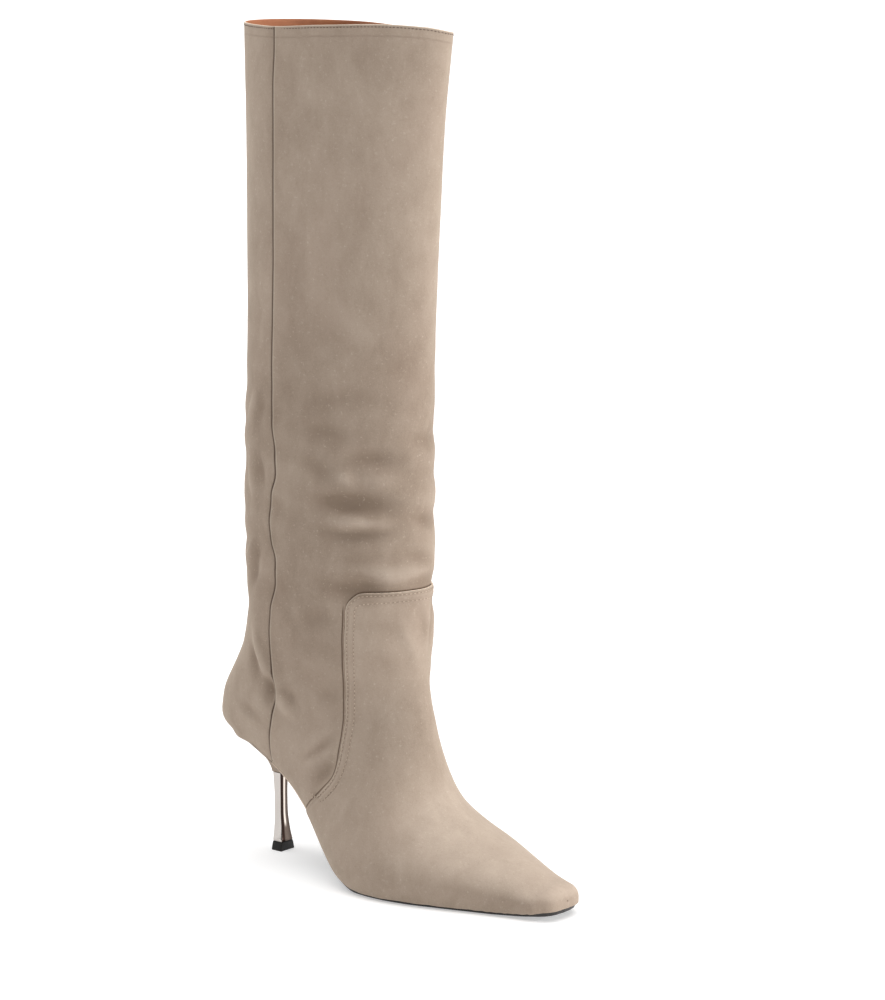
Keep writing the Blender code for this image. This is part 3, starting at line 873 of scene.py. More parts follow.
def shaped_grid(name: str, points: Array, extra: dict[str, Array] | None = None, flip: bool = False,
                fill: bool = False) -> bpy.types.Object:
    """A sheet of quads through a table of points, from a grid primitive, with coinciding points made one.

    Args:
        name: The piece's name.
        points: Points by row and column.
        extra: More values to keep on the vertices, by name, each by row and column.
        flip: Whether the faces are turned round.
        fill: Whether open edges are closed with faces.

    Returns:
        The piece.
    """
    rows, columns = points.shape[:2]
    deselect_all()
    bpy.ops.mesh.primitive_grid_add(x_subdivisions=columns - 1, y_subdivisions=rows - 1, size=2)
    piece = bpy.context.object
    piece.name = piece.data.name = name
    start = read_vectors(piece.data.vertices, "co")
    column = np.rint((start[:, 0] + 1) / 2 * (columns - 1)).astype(int)
    row = np.rint((start[:, 1] + 1) / 2 * (rows - 1)).astype(int)
    for key, values in (extra or {}).items():
        kind, kept = ("FLOAT_VECTOR", "vector") if values.ndim == 3 else ("FLOAT", "value")
        attribute = piece.data.attributes.new(key, kind, "POINT")
        attribute.data.foreach_set(kept, values[row, column].astype(np.float32).ravel())
    place_vertices(piece, points[row, column])
    while piece.data.uv_layers:
        piece.data.uv_layers.remove(piece.data.uv_layers[0])
    make_active(piece)
    bpy.ops.object.mode_set(mode="EDIT")
    bpy.ops.mesh.select_all(action="SELECT")
    bpy.ops.mesh.remove_doubles(threshold=2e-6)
    if flip:
        bpy.ops.mesh.flip_normals()
    if fill:
        bpy.ops.mesh.select_all(action="DESELECT")
        bpy.ops.mesh.select_mode(type="EDGE")
        bpy.ops.mesh.select_non_manifold(extend=False, use_wire=False, use_boundary=True,
                                         use_multi_face=False, use_non_contiguous=False, use_verts=False)
        bpy.ops.mesh.edge_face_add()
        bpy.ops.mesh.select_mode(type="VERT")
        bpy.ops.mesh.select_all(action="SELECT")
        bpy.ops.mesh.normals_make_consistent(inside=False)
    bpy.ops.object.mode_set(mode="OBJECT")
    return piece


def walled(piece: bpy.types.Object, slots: Sequence[int]) -> None:
    """Give a sheet its inner face, at the points kept in its attribute inner.

    Args:
        piece: A sheet whose faces point outwards.
        slots: Material slot offsets of the inner face and of the rim.
    """
    count = len(piece.data.vertices)
    make_active(piece)
    wall = piece.modifiers.new("wall", "SOLIDIFY")
    wall.thickness = 0.0005
    wall.offset = -1
    wall.material_offset, wall.material_offset_rim = slots
    bpy.ops.object.modifier_apply(modifier=wall.name)
    points = read_vectors(piece.data.vertices, "co")
    inner = piece.data.attributes["inner"]
    points[count:] = read_vectors(inner.data, "vector")[count:]
    place_vertices(piece, points)
    piece.data.attributes.remove(piece.data.attributes["inner"])


def shade(piece: bpy.types.Object, degrees: float) -> None:
    """Smooth shading, with edges sharper than an angle left crisp."""
    make_active(piece)
    bpy.ops.object.shade_smooth_by_angle(angle=math.radians(degrees), keep_sharp_edges=True)


def dress(piece: bpy.types.Object, slot: str, *materials: bpy.types.Material) -> None:
    """Give a piece its materials, and let it go with the boot.

    Args:
        piece: The piece.
        slot: Name of the record's material slot. Not used.
        materials: Its materials, in the order of its own slots.
    """
    piece.data.materials.clear()
    for material in materials:
        piece.data.materials.append(material)
    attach(piece, "root")
    log.info("%s: %d faces", piece.name, len(piece.data.polygons))


class Value:
    """A number in a shader, with the usual operators."""

    def __init__(self, graph: "Graph", socket: bpy.types.NodeSocket) -> None:
        """Wrap one output socket."""
        self.graph = graph
        self.socket = socket

    def math(self, operation: str, *others: Any) -> "Value":
        """A Math node of this value and others."""
        return self.graph.value("ShaderNodeMath", {"operation": operation}, [self, *others])

    def __add__(self, other: Any) -> "Value":
        """Sum."""
        return self.math("ADD", other)

    def __radd__(self, other: Any) -> "Value":
        """Sum, reflected."""
        return self.math("ADD", other)

    def __sub__(self, other: Any) -> "Value":
        """Difference."""
        return self.math("SUBTRACT", other)

    def __rsub__(self, other: Any) -> "Value":
        """Difference, reflected."""
        return self.graph.value("ShaderNodeMath", {"operation": "SUBTRACT"}, [other, self])

    def __mul__(self, other: Any) -> "Value":
        """Product."""
        return self.math("MULTIPLY", other)

    def __rmul__(self, other: Any) -> "Value":
        """Product, reflected."""
        return self.math("MULTIPLY", other)

    def __neg__(self) -> "Value":
        """The opposite."""
        return self.math("MULTIPLY", -1.0)

    def __abs__(self) -> "Value":
        """Size without sign."""
        return self.math("ABSOLUTE")

    def step(self, start: float, end: float) -> "Value":
        """A soft step from 0 at start to 1 at end.

        Args:
            start: Where the step starts.
            end: Where it ends.

        Returns:
            The step's value.
        """
        node = self.graph.node("ShaderNodeMapRange", {"interpolation_type": "SMOOTHSTEP"},
                               {"Value": self, "From Min": start, "From Max": end})
        return Value(self.graph, node.outputs["Result"])

    def line(self, centre: float, width: float) -> "Value":
        """1 on a line at centre, falling softly to 0 at width from it."""
        return 1.0 - abs(self - centre).step(0.0, width)

    def clamp(self) -> "Value":
        """Kept between 0 and 1."""
        return self.math("MAXIMUM", 0.0).math("MINIMUM", 1.0)


class Graph:
    """Builds one material's nodes."""

    def __init__(self, name: str) -> None:
        """Start an empty material.

        Args:
            name: The material's name.
        """
        self.material = bpy.data.materials.new(name)
        self.material.use_nodes = True
        self.tree = self.material.node_tree
        self.shader = self.tree.nodes["Principled BSDF"]
        self.coordinates = self.node("ShaderNodeTexCoord", {}, {}).outputs["Object"]

    def node(self, kind: str, settings: dict[str, Any], inputs: Inputs) -> bpy.types.Node:
        """Any node.

        Args:
            kind: Its type.
            settings: Its properties, set first.
            inputs: Values, links or Values for its sockets, by name or in order.

        Returns:
            The node.
        """
        node = self.tree.nodes.new(kind)
        for key, setting in settings.items():
            setattr(node, key, setting)
        pairs = inputs.items() if isinstance(inputs, dict) else enumerate(inputs)
        for key, given in pairs:
            self.feed(node.inputs[key], given)
        return node

    def feed(self, socket: bpy.types.NodeSocket, given: Any) -> None:
        """Link or set one socket.

        Args:
            socket: The socket.
            given: A Value, a link or what the socket is set to.
        """
        if isinstance(given, Value):
            self.tree.links.new(given.socket, socket)
        elif isinstance(given, bpy.types.NodeSocket):
            self.tree.links.new(given, socket)
        elif isinstance(given, tuple) and socket.type == "RGBA" and len(given) == 3:
            socket.default_value = (*given, 1)
        else:
            socket.default_value = given

    def value(self, kind: str, settings: dict[str, Any], inputs: Inputs) -> Value:
        """A node's first output as a Value."""
        return Value(self, self.node(kind, settings, inputs).outputs[0])

    def attribute(self, name: str) -> Value:
        """A number kept on the piece's vertices."""
        node = self.node("ShaderNodeAttribute", {"attribute_name": name}, {})
        return Value(self, node.outputs["Fac"])

    def axis(self, letter: str) -> Value:
        """One of the object's coordinates, in metres."""
        node = self.node("ShaderNodeSeparateXYZ", {}, {"Vector": self.coordinates})
        return Value(self, node.outputs[letter])

    def stretched(self, scale: Sequence[float], turn: Sequence[float] = (0, 0, 0)) -> bpy.types.NodeSocket:
        """The object's coordinates, scaled and turned about the origin."""
        inputs = {"Vector": self.coordinates, "Scale": scale, "Rotation": turn}
        return self.node("ShaderNodeMapping", {}, inputs).outputs["Vector"]

    def noise(self, scale: float, detail: float = 2.0, rough: float = 0.5, vector: Any = None,
              warp: float = 0.0) -> Value:
        """Soft noise about 0.5.

        Args:
            scale: Bumps per metre.
            detail: Number of finer layers.
            rough: How strong the finer layers are.
            vector: Coordinates, or none for the object's own.
            warp: How much it is twisted.

        Returns:
            The noise.
        """
        node = self.node("ShaderNodeTexNoise", {}, {
            "Vector": vector or self.coordinates, "Scale": scale, "Detail": detail, "Roughness": rough,
            "Distortion": warp})
        return Value(self, node.outputs["Fac"])

    def mix(self, factor: Any, first: Any, second: Any) -> bpy.types.NodeSocket:
        """Two colours mixed.

        Args:
            factor: 0 for the first, 1 for the second.
            first: A colour or a link.
            second: A colour or a link.

        Returns:
            The mixed colour's socket.
        """
        node = self.node("ShaderNodeMix", {"data_type": "RGBA", "blend_type": "MIX"}, {})
        colour_inputs = [socket for socket in node.inputs if socket.type == "RGBA"]
        self.feed(node.inputs[0], factor)
        self.feed(colour_inputs[0], first)
        self.feed(colour_inputs[1], second)
        return [socket for socket in node.outputs if socket.type == "RGBA"][0]

    def bump(self, height: Value, distance: float, strength: float = 1.0, normal: Any = None
             ) -> bpy.types.NodeSocket:
        """A bump from a height between 0 and 1.

        Args:
            height: The height.
            distance: Its size in metres.
            strength: How much of it is used.
            normal: A bump below this one.

        Returns:
            The normal's socket.
        """
        inputs = {"Height": height, "Distance": distance, "Strength": strength}
        if normal is not None:
            inputs["Normal"] = normal
        return self.node("ShaderNodeBump", {}, inputs).outputs["Normal"]

    def finish(self, colour: Any, roughness: Any, normal: Any = None, **fixed: Any) -> bpy.types.Material:
        """Feed the shader.

        Args:
            colour: Base colour.
            roughness: Roughness.
            normal: A normal's socket, if any.
            fixed: Other sockets' values, by name with _ for a space.

        Returns:
            The material.
        """
        self.feed(self.shader.inputs["Base Color"], colour)
        self.feed(self.shader.inputs["Roughness"], roughness)
        if normal is not None:
            self.feed(self.shader.inputs["Normal"], normal)
        for key, given in fixed.items():
            self.feed(self.shader.inputs[key.replace("_", " ")], given)
        return self.material


def linear(red: float, green: float, blue: float) -> Colour:
    """A colour of 0 to 255 a channel, as seen, as light."""
    seen = (red / 255, green / 255, blue / 255)
    return tuple(c / 12.92 if c <= 0.04045 else ((c + 0.055) / 1.055) ** 2.4 for c in seen)


class Dressing(Enum):
    """Where a suede is used, which tells what marks it carries."""

    LEG = "leg"
    VAMP = "vamp"
    HEEL = "heel"


@dataclass(frozen=True)
class Suede:
    """Taupe suede: a short nap that is brushed in patches, with painted highlights on ridges and painted shade
    in troughs.
    """

    dressing: Dressing
    base: Colour = linear(158, 142, 127)
    light: Colour = linear(180, 164, 149)
    dark: Colour = linear(130, 113, 98)
    warm: Colour = linear(161, 140, 126)

    def material(self) -> bpy.types.Material:
        """Paint patches, nap and specks, and the marks of the place where it is used, painted light and shade
        among them.

        Returns:
            The material.
        """
        g = Graph(f"suede_{self.dressing.value}")
        brushed = g.stretched((1.0, 1.0, 0.55), (0.5, 0.3, 0.0))
        patches = g.noise(34, 3, 0.55, brushed, 0.6)
        small = g.noise(120, 3, 0.6, brushed, 0.4)
        grain = g.noise(1500, 2, 0.6)
        specks = g.noise(640, 3, 0.65)
        tone = (0.7 * (patches - 0.5) + 0.5 * (small - 0.5) + 0.4 * (grain - 0.5)) * 2.0 + 0.04
        if self.dressing is Dressing.LEG:
            # Painted shade: the leg is darker in a band over the ankle and the lower shaft
            height_up = g.axis("Z")
            tone = tone - 0.42 * (height_up.step(0.075, 0.125) * (1.0 - height_up.step(0.25, 0.36)))
        if self.dressing is Dressing.VAMP:
            # Painted light: over the forefoot, hide that faces up is painted lighter and hide that faces aside
            # darker
            painted_top_light = g.attribute("painted_top_light").step(0.05, 0.80) * 0.92 - 0.18
            tone = tone + g.axis("X").step(0.060, 0.145) * painted_top_light
        colour = g.mix((tone.math("MAXIMUM", 0.0) * 0.85).clamp(), self.base, self.light)
        colour = g.mix(((-tone).math("MAXIMUM", 0.0) * 0.95).clamp(), colour, self.dark)
        warmth = g.noise(22, 2, 0.5, g.stretched((1, 1, 0.7), (0, 0.6, 0))) - 0.42
        colour = g.mix(warmth.step(0.0, 0.35) * 0.16, colour, self.warm)
        if self.dressing is not Dressing.HEEL:
            # Painted shade in the folds' troughs and painted highlight on their ridges
            crease = g.attribute("crease")
            colour = g.mix(((-crease) * 0.38).clamp(), colour, self.dark)
            colour = g.mix((crease * 0.36).clamp(), colour, self.light)
        colour = g.mix((specks - 0.59).step(0.0, 0.14) * 0.28, colour, linear(200, 186, 170))
        colour = g.mix((0.42 - specks).step(0.0, 0.12) * 0.14, colour, linear(112, 96, 82))
        height = 0.55 * grain + 0.45 * specks
        normal = g.bump(g.noise(190, 3, 0.55, brushed), 0.0005, 0.35)
        if self.dressing is Dressing.LEG:
            seam, rim = g.attribute("seam"), g.attribute("rim")
            # Painted shadow line at the side seam's lap, and painted highlight on the front panel's raised edge
            colour = g.mix((seam.line(-0.30, 1.45) * 1.3).clamp(), colour, linear(70, 54, 44))
            colour = g.mix(seam.line(1.05, 0.55) * 0.30, colour, linear(200, 188, 172))
            # Painted shade along the fold line 5.6 mm below the rim
            colour = g.mix(rim.line(5.6, 0.9) * (small + 0.1).clamp() * 0.5, colour, self.dark)
            colour = g.mix(rim.line(0.0, 0.6) * 0.8, colour, linear(222, 205, 186))
            under = g.attribute("under")
            shadow = under.line(0.10, 0.95) + under.line(1.75, 0.75) * (1.0 - g.axis("Z").step(0.146, 0.151))
            colour = g.mix((shadow * 0.92).clamp(), colour, linear(84, 67, 55))
            normal = g.bump(1.0 - rim.line(5.6, 0.8), 0.0002, 0.6, normal)
        if self.dressing is Dressing.VAMP:
            edge = g.attribute("edge")
            # Painted highlight on the rolled cut edge, and on the puffed band between the stitch rows
            colour = g.mix(edge.line(0.20, 0.6) * 0.35, colour, linear(205, 191, 174))
            colour = g.mix(edge.line(2.6, 1.1) * 0.16, colour, self.light)
        normal = g.bump(height, 0.00022, 0.55, normal)
        rough = 0.86 + 0.12 * grain
        return g.finish(colour, rough, normal, Sheen_Weight=0.35, Sheen_Roughness=0.45,
                        Sheen_Tint=linear(226, 212, 196), Specular_IOR_Level=0.2)


@dataclass(frozen=True)
class LiningLeather:
    """Smooth tan lining leather with fine pores, a little rubbed."""

    base: Colour = linear(196, 132, 92)
    worn: Colour = linear(176, 112, 76)

    def material(self) -> bpy.types.Material:
        """Paint a slow cloud of wear and fine pores.

        Returns:
            The material.
        """
        g = Graph("lining_leather")
        cloud = g.noise(45, 4, 0.55)
        pores = g.node("ShaderNodeTexVoronoi", {"feature": "DISTANCE_TO_EDGE"}, {"Scale": 900.0})
        cells = Value(g, pores.outputs["Distance"]).step(0.0, 0.25)
        colour = g.mix((cloud - 0.3).step(0.0, 0.45), self.worn, self.base)
        colour = g.mix((1.0 - cells) * 0.25, colour, linear(140, 84, 54))
        normal = g.bump(cells, 0.00008, 0.6, g.bump(cloud, 0.0004, 0.3))
        return g.finish(colour, 0.5 + 0.16 * cloud, normal, Specular_IOR_Level=0.4)


@dataclass(frozen=True)
class CutEdge:
    """The pale edge of a cut hide, fibrous, where suede and lining meet."""

    name: str = "pale_cut_edge"
    colour: Colour = linear(250, 232, 212)

    def material(self) -> bpy.types.Material:
        """Paint the fibres of a cut edge.

        Returns:
            The material.
        """
        g = Graph(self.name)
        fibre = g.noise(900, 3, 0.6, g.stretched((1, 1, 3)))
        colour = g.mix(fibre * 0.5, self.colour, linear(222, 198, 174))
        return g.finish(colour, 0.8 + 0.1 * fibre, g.bump(fibre, 0.0001, 0.5), Specular_IOR_Level=0.25)


@dataclass(frozen=True)
class WaxedEdge:
    """Black waxed edge of the outsole, slightly uneven."""

    def material(self) -> bpy.types.Material:
        """Paint black wax, worn through in spots.

        Returns:
            The material.
        """
        g = Graph("black_waxed_edge")
        wear = g.noise(260, 3, 0.6)
        colour = g.mix((wear - 0.55).step(0.0, 0.25) * 0.5, linear(28, 24, 23), linear(64, 55, 50))
        return g.finish(colour, 0.34 + 0.25 * wear, g.bump(wear, 0.0001, 0.4), Specular_IOR_Level=0.5)


@dataclass(frozen=True)
class SoleLeather:
    """Nude sole leather, matt, with a fine grain."""

    def material(self) -> bpy.types.Material:
        """Paint smooth leather with faint scuffs along the sole.

        Returns:
            The material.
        """
        g = Graph("nude_sole_leather")
        cloud = g.noise(30, 4, 0.55)
        grain = g.noise(1100, 3, 0.6)
        scuff = g.noise(150, 3, 0.7, g.stretched((0.25, 1.4, 1.0)))
        colour = g.mix(cloud, linear(206, 170, 150), linear(190, 152, 132))
        colour = g.mix((scuff - 0.60).step(0.0, 0.2) * 0.35, colour, linear(160, 128, 110))
        return g.finish(colour, 0.5 + 0.2 * scuff, g.bump(grain, 0.00008, 0.5), Specular_IOR_Level=0.4)


@dataclass(frozen=True)
class ChampagneMetal:
    """Polished metal with a warm champagne tone, pale at the sides, with painted reflections over its front
    face: deep tones and a bright glint.
    """

    colour: Colour = linear(187, 182, 178)
    # Painted reflection: the deep tone of the front face
    deep: Colour = linear(104, 92, 85)

    def material(self) -> bpy.types.Material:
        """Paint pale flanks, and painted reflections over the front face: deep tones, a bright glint and a dark
        line by the arris.

        Returns:
            The material.
        """
        g = Graph("champagne_metal")
        lines = g.noise(1600, 2, 0.5, g.stretched((1, 1, 0.03)))
        cloud = g.noise(90, 2, 0.5)
        front, across = g.attribute("front"), g.attribute("across")
        # Painted reflections over the front face: a bright glint above the foot, deep tones across it
        painted_glint = (across.line(-0.02, 0.36) + across.line(-0.02, 0.22)).clamp()
        painted_glint = painted_glint * g.axis("Z").step(0.012, 0.016)
        face = g.mix(across.step(0.1, 1.0), self.deep, linear(72, 60, 54))
        face = g.mix(painted_glint, face, linear(232, 222, 212))
        # Painted reflection: a dark line by the outer arris
        face = g.mix((across.line(-0.62, 0.44) * 1.6).clamp(), face, linear(44, 32, 28))
        colour = g.mix(front, g.mix(cloud * 0.4, self.colour, linear(180, 170, 163)), face)
        return g.finish(colour, 0.07 + 0.07 * lines + 0.04 * cloud, g.bump(lines, 0.00001, 0.2), Metallic=1.0)


@dataclass(frozen=True)
class HeelRubber:
    """Black moulded rubber of the heel tip."""

    def material(self) -> bpy.types.Material:
        """Paint matt rubber with a little dust.

        Returns:
            The material.
        """
        g = Graph("black_heel_rubber")
        grain = g.noise(1400, 3, 0.6)
        dust = g.noise(160, 3, 0.6)
        colour = g.mix((dust - 0.5).step(0.0, 0.3) * 0.5, linear(26, 25, 24), linear(52, 49, 46))
        return g.finish(colour, 0.5 + 0.25 * grain, g.bump(grain, 0.00006, 0.6), Specular_IOR_Level=0.4)


@dataclass(frozen=True)
class Thread:
    """Sewing thread, twisted, with painted shade on its ends where they go into the hide."""

    name: str
    colour: Colour
    # Dark tone of the twist, and of the painted shade where the thread goes into the hide
    sunk: Colour = linear(74, 58, 47)

    def material(self) -> bpy.types.Material:
        """Paint the twist, and painted shade where a stitch goes into the hide.

        Returns:
            The material.
        """
        g = Graph(self.name)
        end = g.attribute("end")
        twist = g.noise(1800, 2, 0.6)
        colour = g.mix(twist * 0.35, self.colour, self.sunk)
        # Painted shade on the stitch's ends, where it goes into the hide
        colour = g.mix(end.step(0.45, 0.95), colour, self.sunk)
        return g.finish(colour, 0.7 + 0.15 * twist, g.bump(twist, 0.00006, 0.6), Specular_IOR_Level=0.3)


@dataclass
class Upper:
    """The leg and foot of the boot, one hollow piece from collar to sole line, with its lining inside."""

    form: BootForm
    skin: Skin
    relief: Relief
    vamp: "Vamp"
    step: float = 0.0024
    rear_columns: int = 25
    front_columns: int = 45
    seam_half_gap: float = 0.00035
    inner_seam_fineness: float = 1.9
    rim_thinning: float = 0.0008
    rim_rounding_mm: float = 0.18
    lining_follows: float = 0.6
    hang: float = 0.0003
    fullness: float = 0.0024

    def row_places(self) -> Array:
        """Places of the mesh's rows, crowded at the collar, with one where the sole line opens the form.

        Returns:
            The places, from collar to toe.
        """
        skin = self.skin
        moved = np.linalg.norm(np.diff(skin.table, axis=0), axis=2).max(axis=1)
        travel = np.concatenate([[0], np.cumsum(moved)])
        opening = float(np.interp(self.form.first_open, skin.places, travel))
        upper = np.linspace(0.0015, opening, int(opening / self.step))
        lower = np.linspace(opening, travel[-1], int((travel[-1] - opening) / self.step))[1:]
        rim = [0, 0.00025, 0.0007]
        places = np.interp(np.concatenate([rim, upper, lower]), travel, skin.places)
        places[len(rim) + len(upper) - 1] = self.form.first_open
        return places

    def shares(self, places: Array, side: Side) -> Array:
        """Shares from rear to front of one side's columns, one of them just behind and one just before the seam.

        Args:
            places: The rows' places.
            side: Which side.

        Returns:
            The shares by row and column.
        """
        relief = self.relief
        least, most, below = 0.03, 0.8, 0.30
        raw = np.interp(places, self.skin.places, relief.seam_shares[side])
        after = ease((places - relief.seam_end) / 7.0)
        seam = np.where(places > relief.seam_end, least + below * after, np.clip(raw, least, most))
        half = self.seam_half_gap / self.skin.arc(places)
        rear = (seam - half)[:, None] * np.linspace(0, 1, self.rear_columns + 1)
        onward = np.linspace(0, 1, self.front_columns + 1)
        front = (seam + half)[:, None] + (1 - seam - half)[:, None] * onward
        return np.hstack([rear, front])

    def closed_up(self, points: Array, places: Array) -> Array:
        """The points with the back of the leg and the tip of the toe brought exactly together.

        Args:
            points: Points by row and column.
            places: The rows' places.

        Returns:
            The points so closed.
        """
        points = points.copy()
        round_rows = places <= self.form.first_open + 1e-9
        back = (points[round_rows, 0] + points[round_rows, -1]) / 2
        points[round_rows, 0] = points[round_rows, -1] = back
        points[-1] = (points[-1] + points[-1, ::-1]) / 2
        return points

    def build(self) -> bpy.types.Object:
        """Model and dress the upper.

        Returns:
            The piece.
        """
        places = self.row_places()
        outer, inner = self.shares(places, Side.OUTER), self.shares(places, Side.INNER)
        turn = np.hstack([outer - 1, (1 - inner)[:, -2::-1]])
        place = np.repeat(places[:, None], turn.shape[1], axis=1)
        plain = self.skin.points(place, turn)
        normal = self.skin.normals(place, turn)
        stand = self.relief.height(place, turn, plain)
        lap = self.relief.lap(place, turn)
        rim = (plain[0, :, 2][None] - plain[..., 2]) / MM
        rounding = self.rim_rounding_mm * np.clip(1 - rim / 0.6, 0, 1) ** 2 * MM
        skived = self.form.upper_wall - self.rim_thinning * np.exp(-rim / 3.0)
        waved = plain + self.relief.collar_rise(turn, plain)[..., None] * (0, 0, 1)
        face = waved + normal * (stand + lap - rounding)[..., None]
        lining = waved + normal * (self.lining_follows * stand - skived + rounding)[..., None]
        face, lining = (self.form.settled(sheet, self.hang, self.fullness) for sheet in (face, lining))
        distance = self.relief.seam_distance(place, turn) * np.where(turn > 0, self.inner_seam_fineness, 1.0)
        under = self.vamp.outside(plain.reshape(-1, 3)).reshape(stand.shape)
        piece = shaped_grid("leg_suede", self.closed_up(face, places), {
            "inner": self.closed_up(lining, places),
            "crease": stand / MM, "seam": np.clip(distance, -40, 40), "rim": np.clip(rim, 0, 60),
            "under": np.clip(under, -30, 30)}, flip=True)
        finishes = Suede(Dressing.LEG), LiningLeather(), CutEdge()
        dress(piece, "suede", *(finish.material() for finish in finishes))
        walled(piece, (1, 2))
        shade(piece, 50)
        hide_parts("upper")
        return piece


@dataclass
class Stitching:
    """A row of machine stitches that lie half sunk in the hide."""

    thread: bpy.types.Material
    pitch: float = 0.0023
    length: float = 0.0019
    width: float = 0.00055
    rise: float = 0.00008

    def single(self) -> bpy.types.Object:
        """One stitch along X, which keeps how near each vertex is to its ends.

        Returns:
            The stitch, to be copied.
        """
        deselect_all()
        bpy.ops.mesh.primitive_uv_sphere_add(segments=8, ring_count=6, radius=0.5)
        stitch = bpy.context.object
        bpy.ops.object.mode_set(mode="EDIT")
        bpy.ops.mesh.select_all(action="SELECT")
        bpy.ops.transform.resize(value=(self.width, self.width, self.length))
        bpy.ops.transform.rotate(value=math.pi / 2, orient_axis="Y", center_override=(0, 0, 0))
        bpy.ops.object.mode_set(mode="OBJECT")
        end = [2 * abs(vertex.co.x) / self.length for vertex in stitch.data.vertices]
        stitch.data.attributes.new("end", "FLOAT", "POINT").data.foreach_set("value", end)
        return stitch

    def run(self, name: str, path: Array, normals: Array) -> bpy.types.Object:
        """One row.

        Args:
            name: The piece's name.
            path: Points of its line, on the surface.
            normals: The surface's normals there.

        Returns:
            The stitches, as one piece.
        """
        single = self.single()
        travel = travelled(path)
        count = int(travel[-1] / self.pitch)
        at = (np.arange(count) + 0.5) * travel[-1] / count
        near = 0.0006
        middle = along_line(path, travel, at)
        along = unit(along_line(path, travel, at + near) - along_line(path, travel, at - near))
        up = along_line(normals, travel, at)
        up = unit(up - (up * along).sum(axis=1, keepdims=True) * along)
        across = np.cross(up, along)
        deselect_all()
        for point, x, y, z in zip(middle + self.rise * up, along, across, up):
            stitch = single.copy()
            stitch.data = single.data.copy()
            stitch.matrix_world = Matrix((
                (x[0], y[0], z[0], point[0]), (x[1], y[1], z[1], point[1]), (x[2], y[2], z[2], point[2]),
                (0, 0, 0, 1)))
            bpy.context.scene.collection.objects.link(stitch)
            stitch.select_set(True)
        bpy.context.view_layer.objects.active = stitch
        bpy.ops.object.join()
        bpy.ops.object.transform_apply(location=True, rotation=True, scale=True)
        piece = bpy.context.object
        piece.name = piece.data.name = name
        bpy.data.objects.remove(single, do_unlink=True)
        shade(piece, 180)
        dress(piece, "suede", self.thread)
        return piece


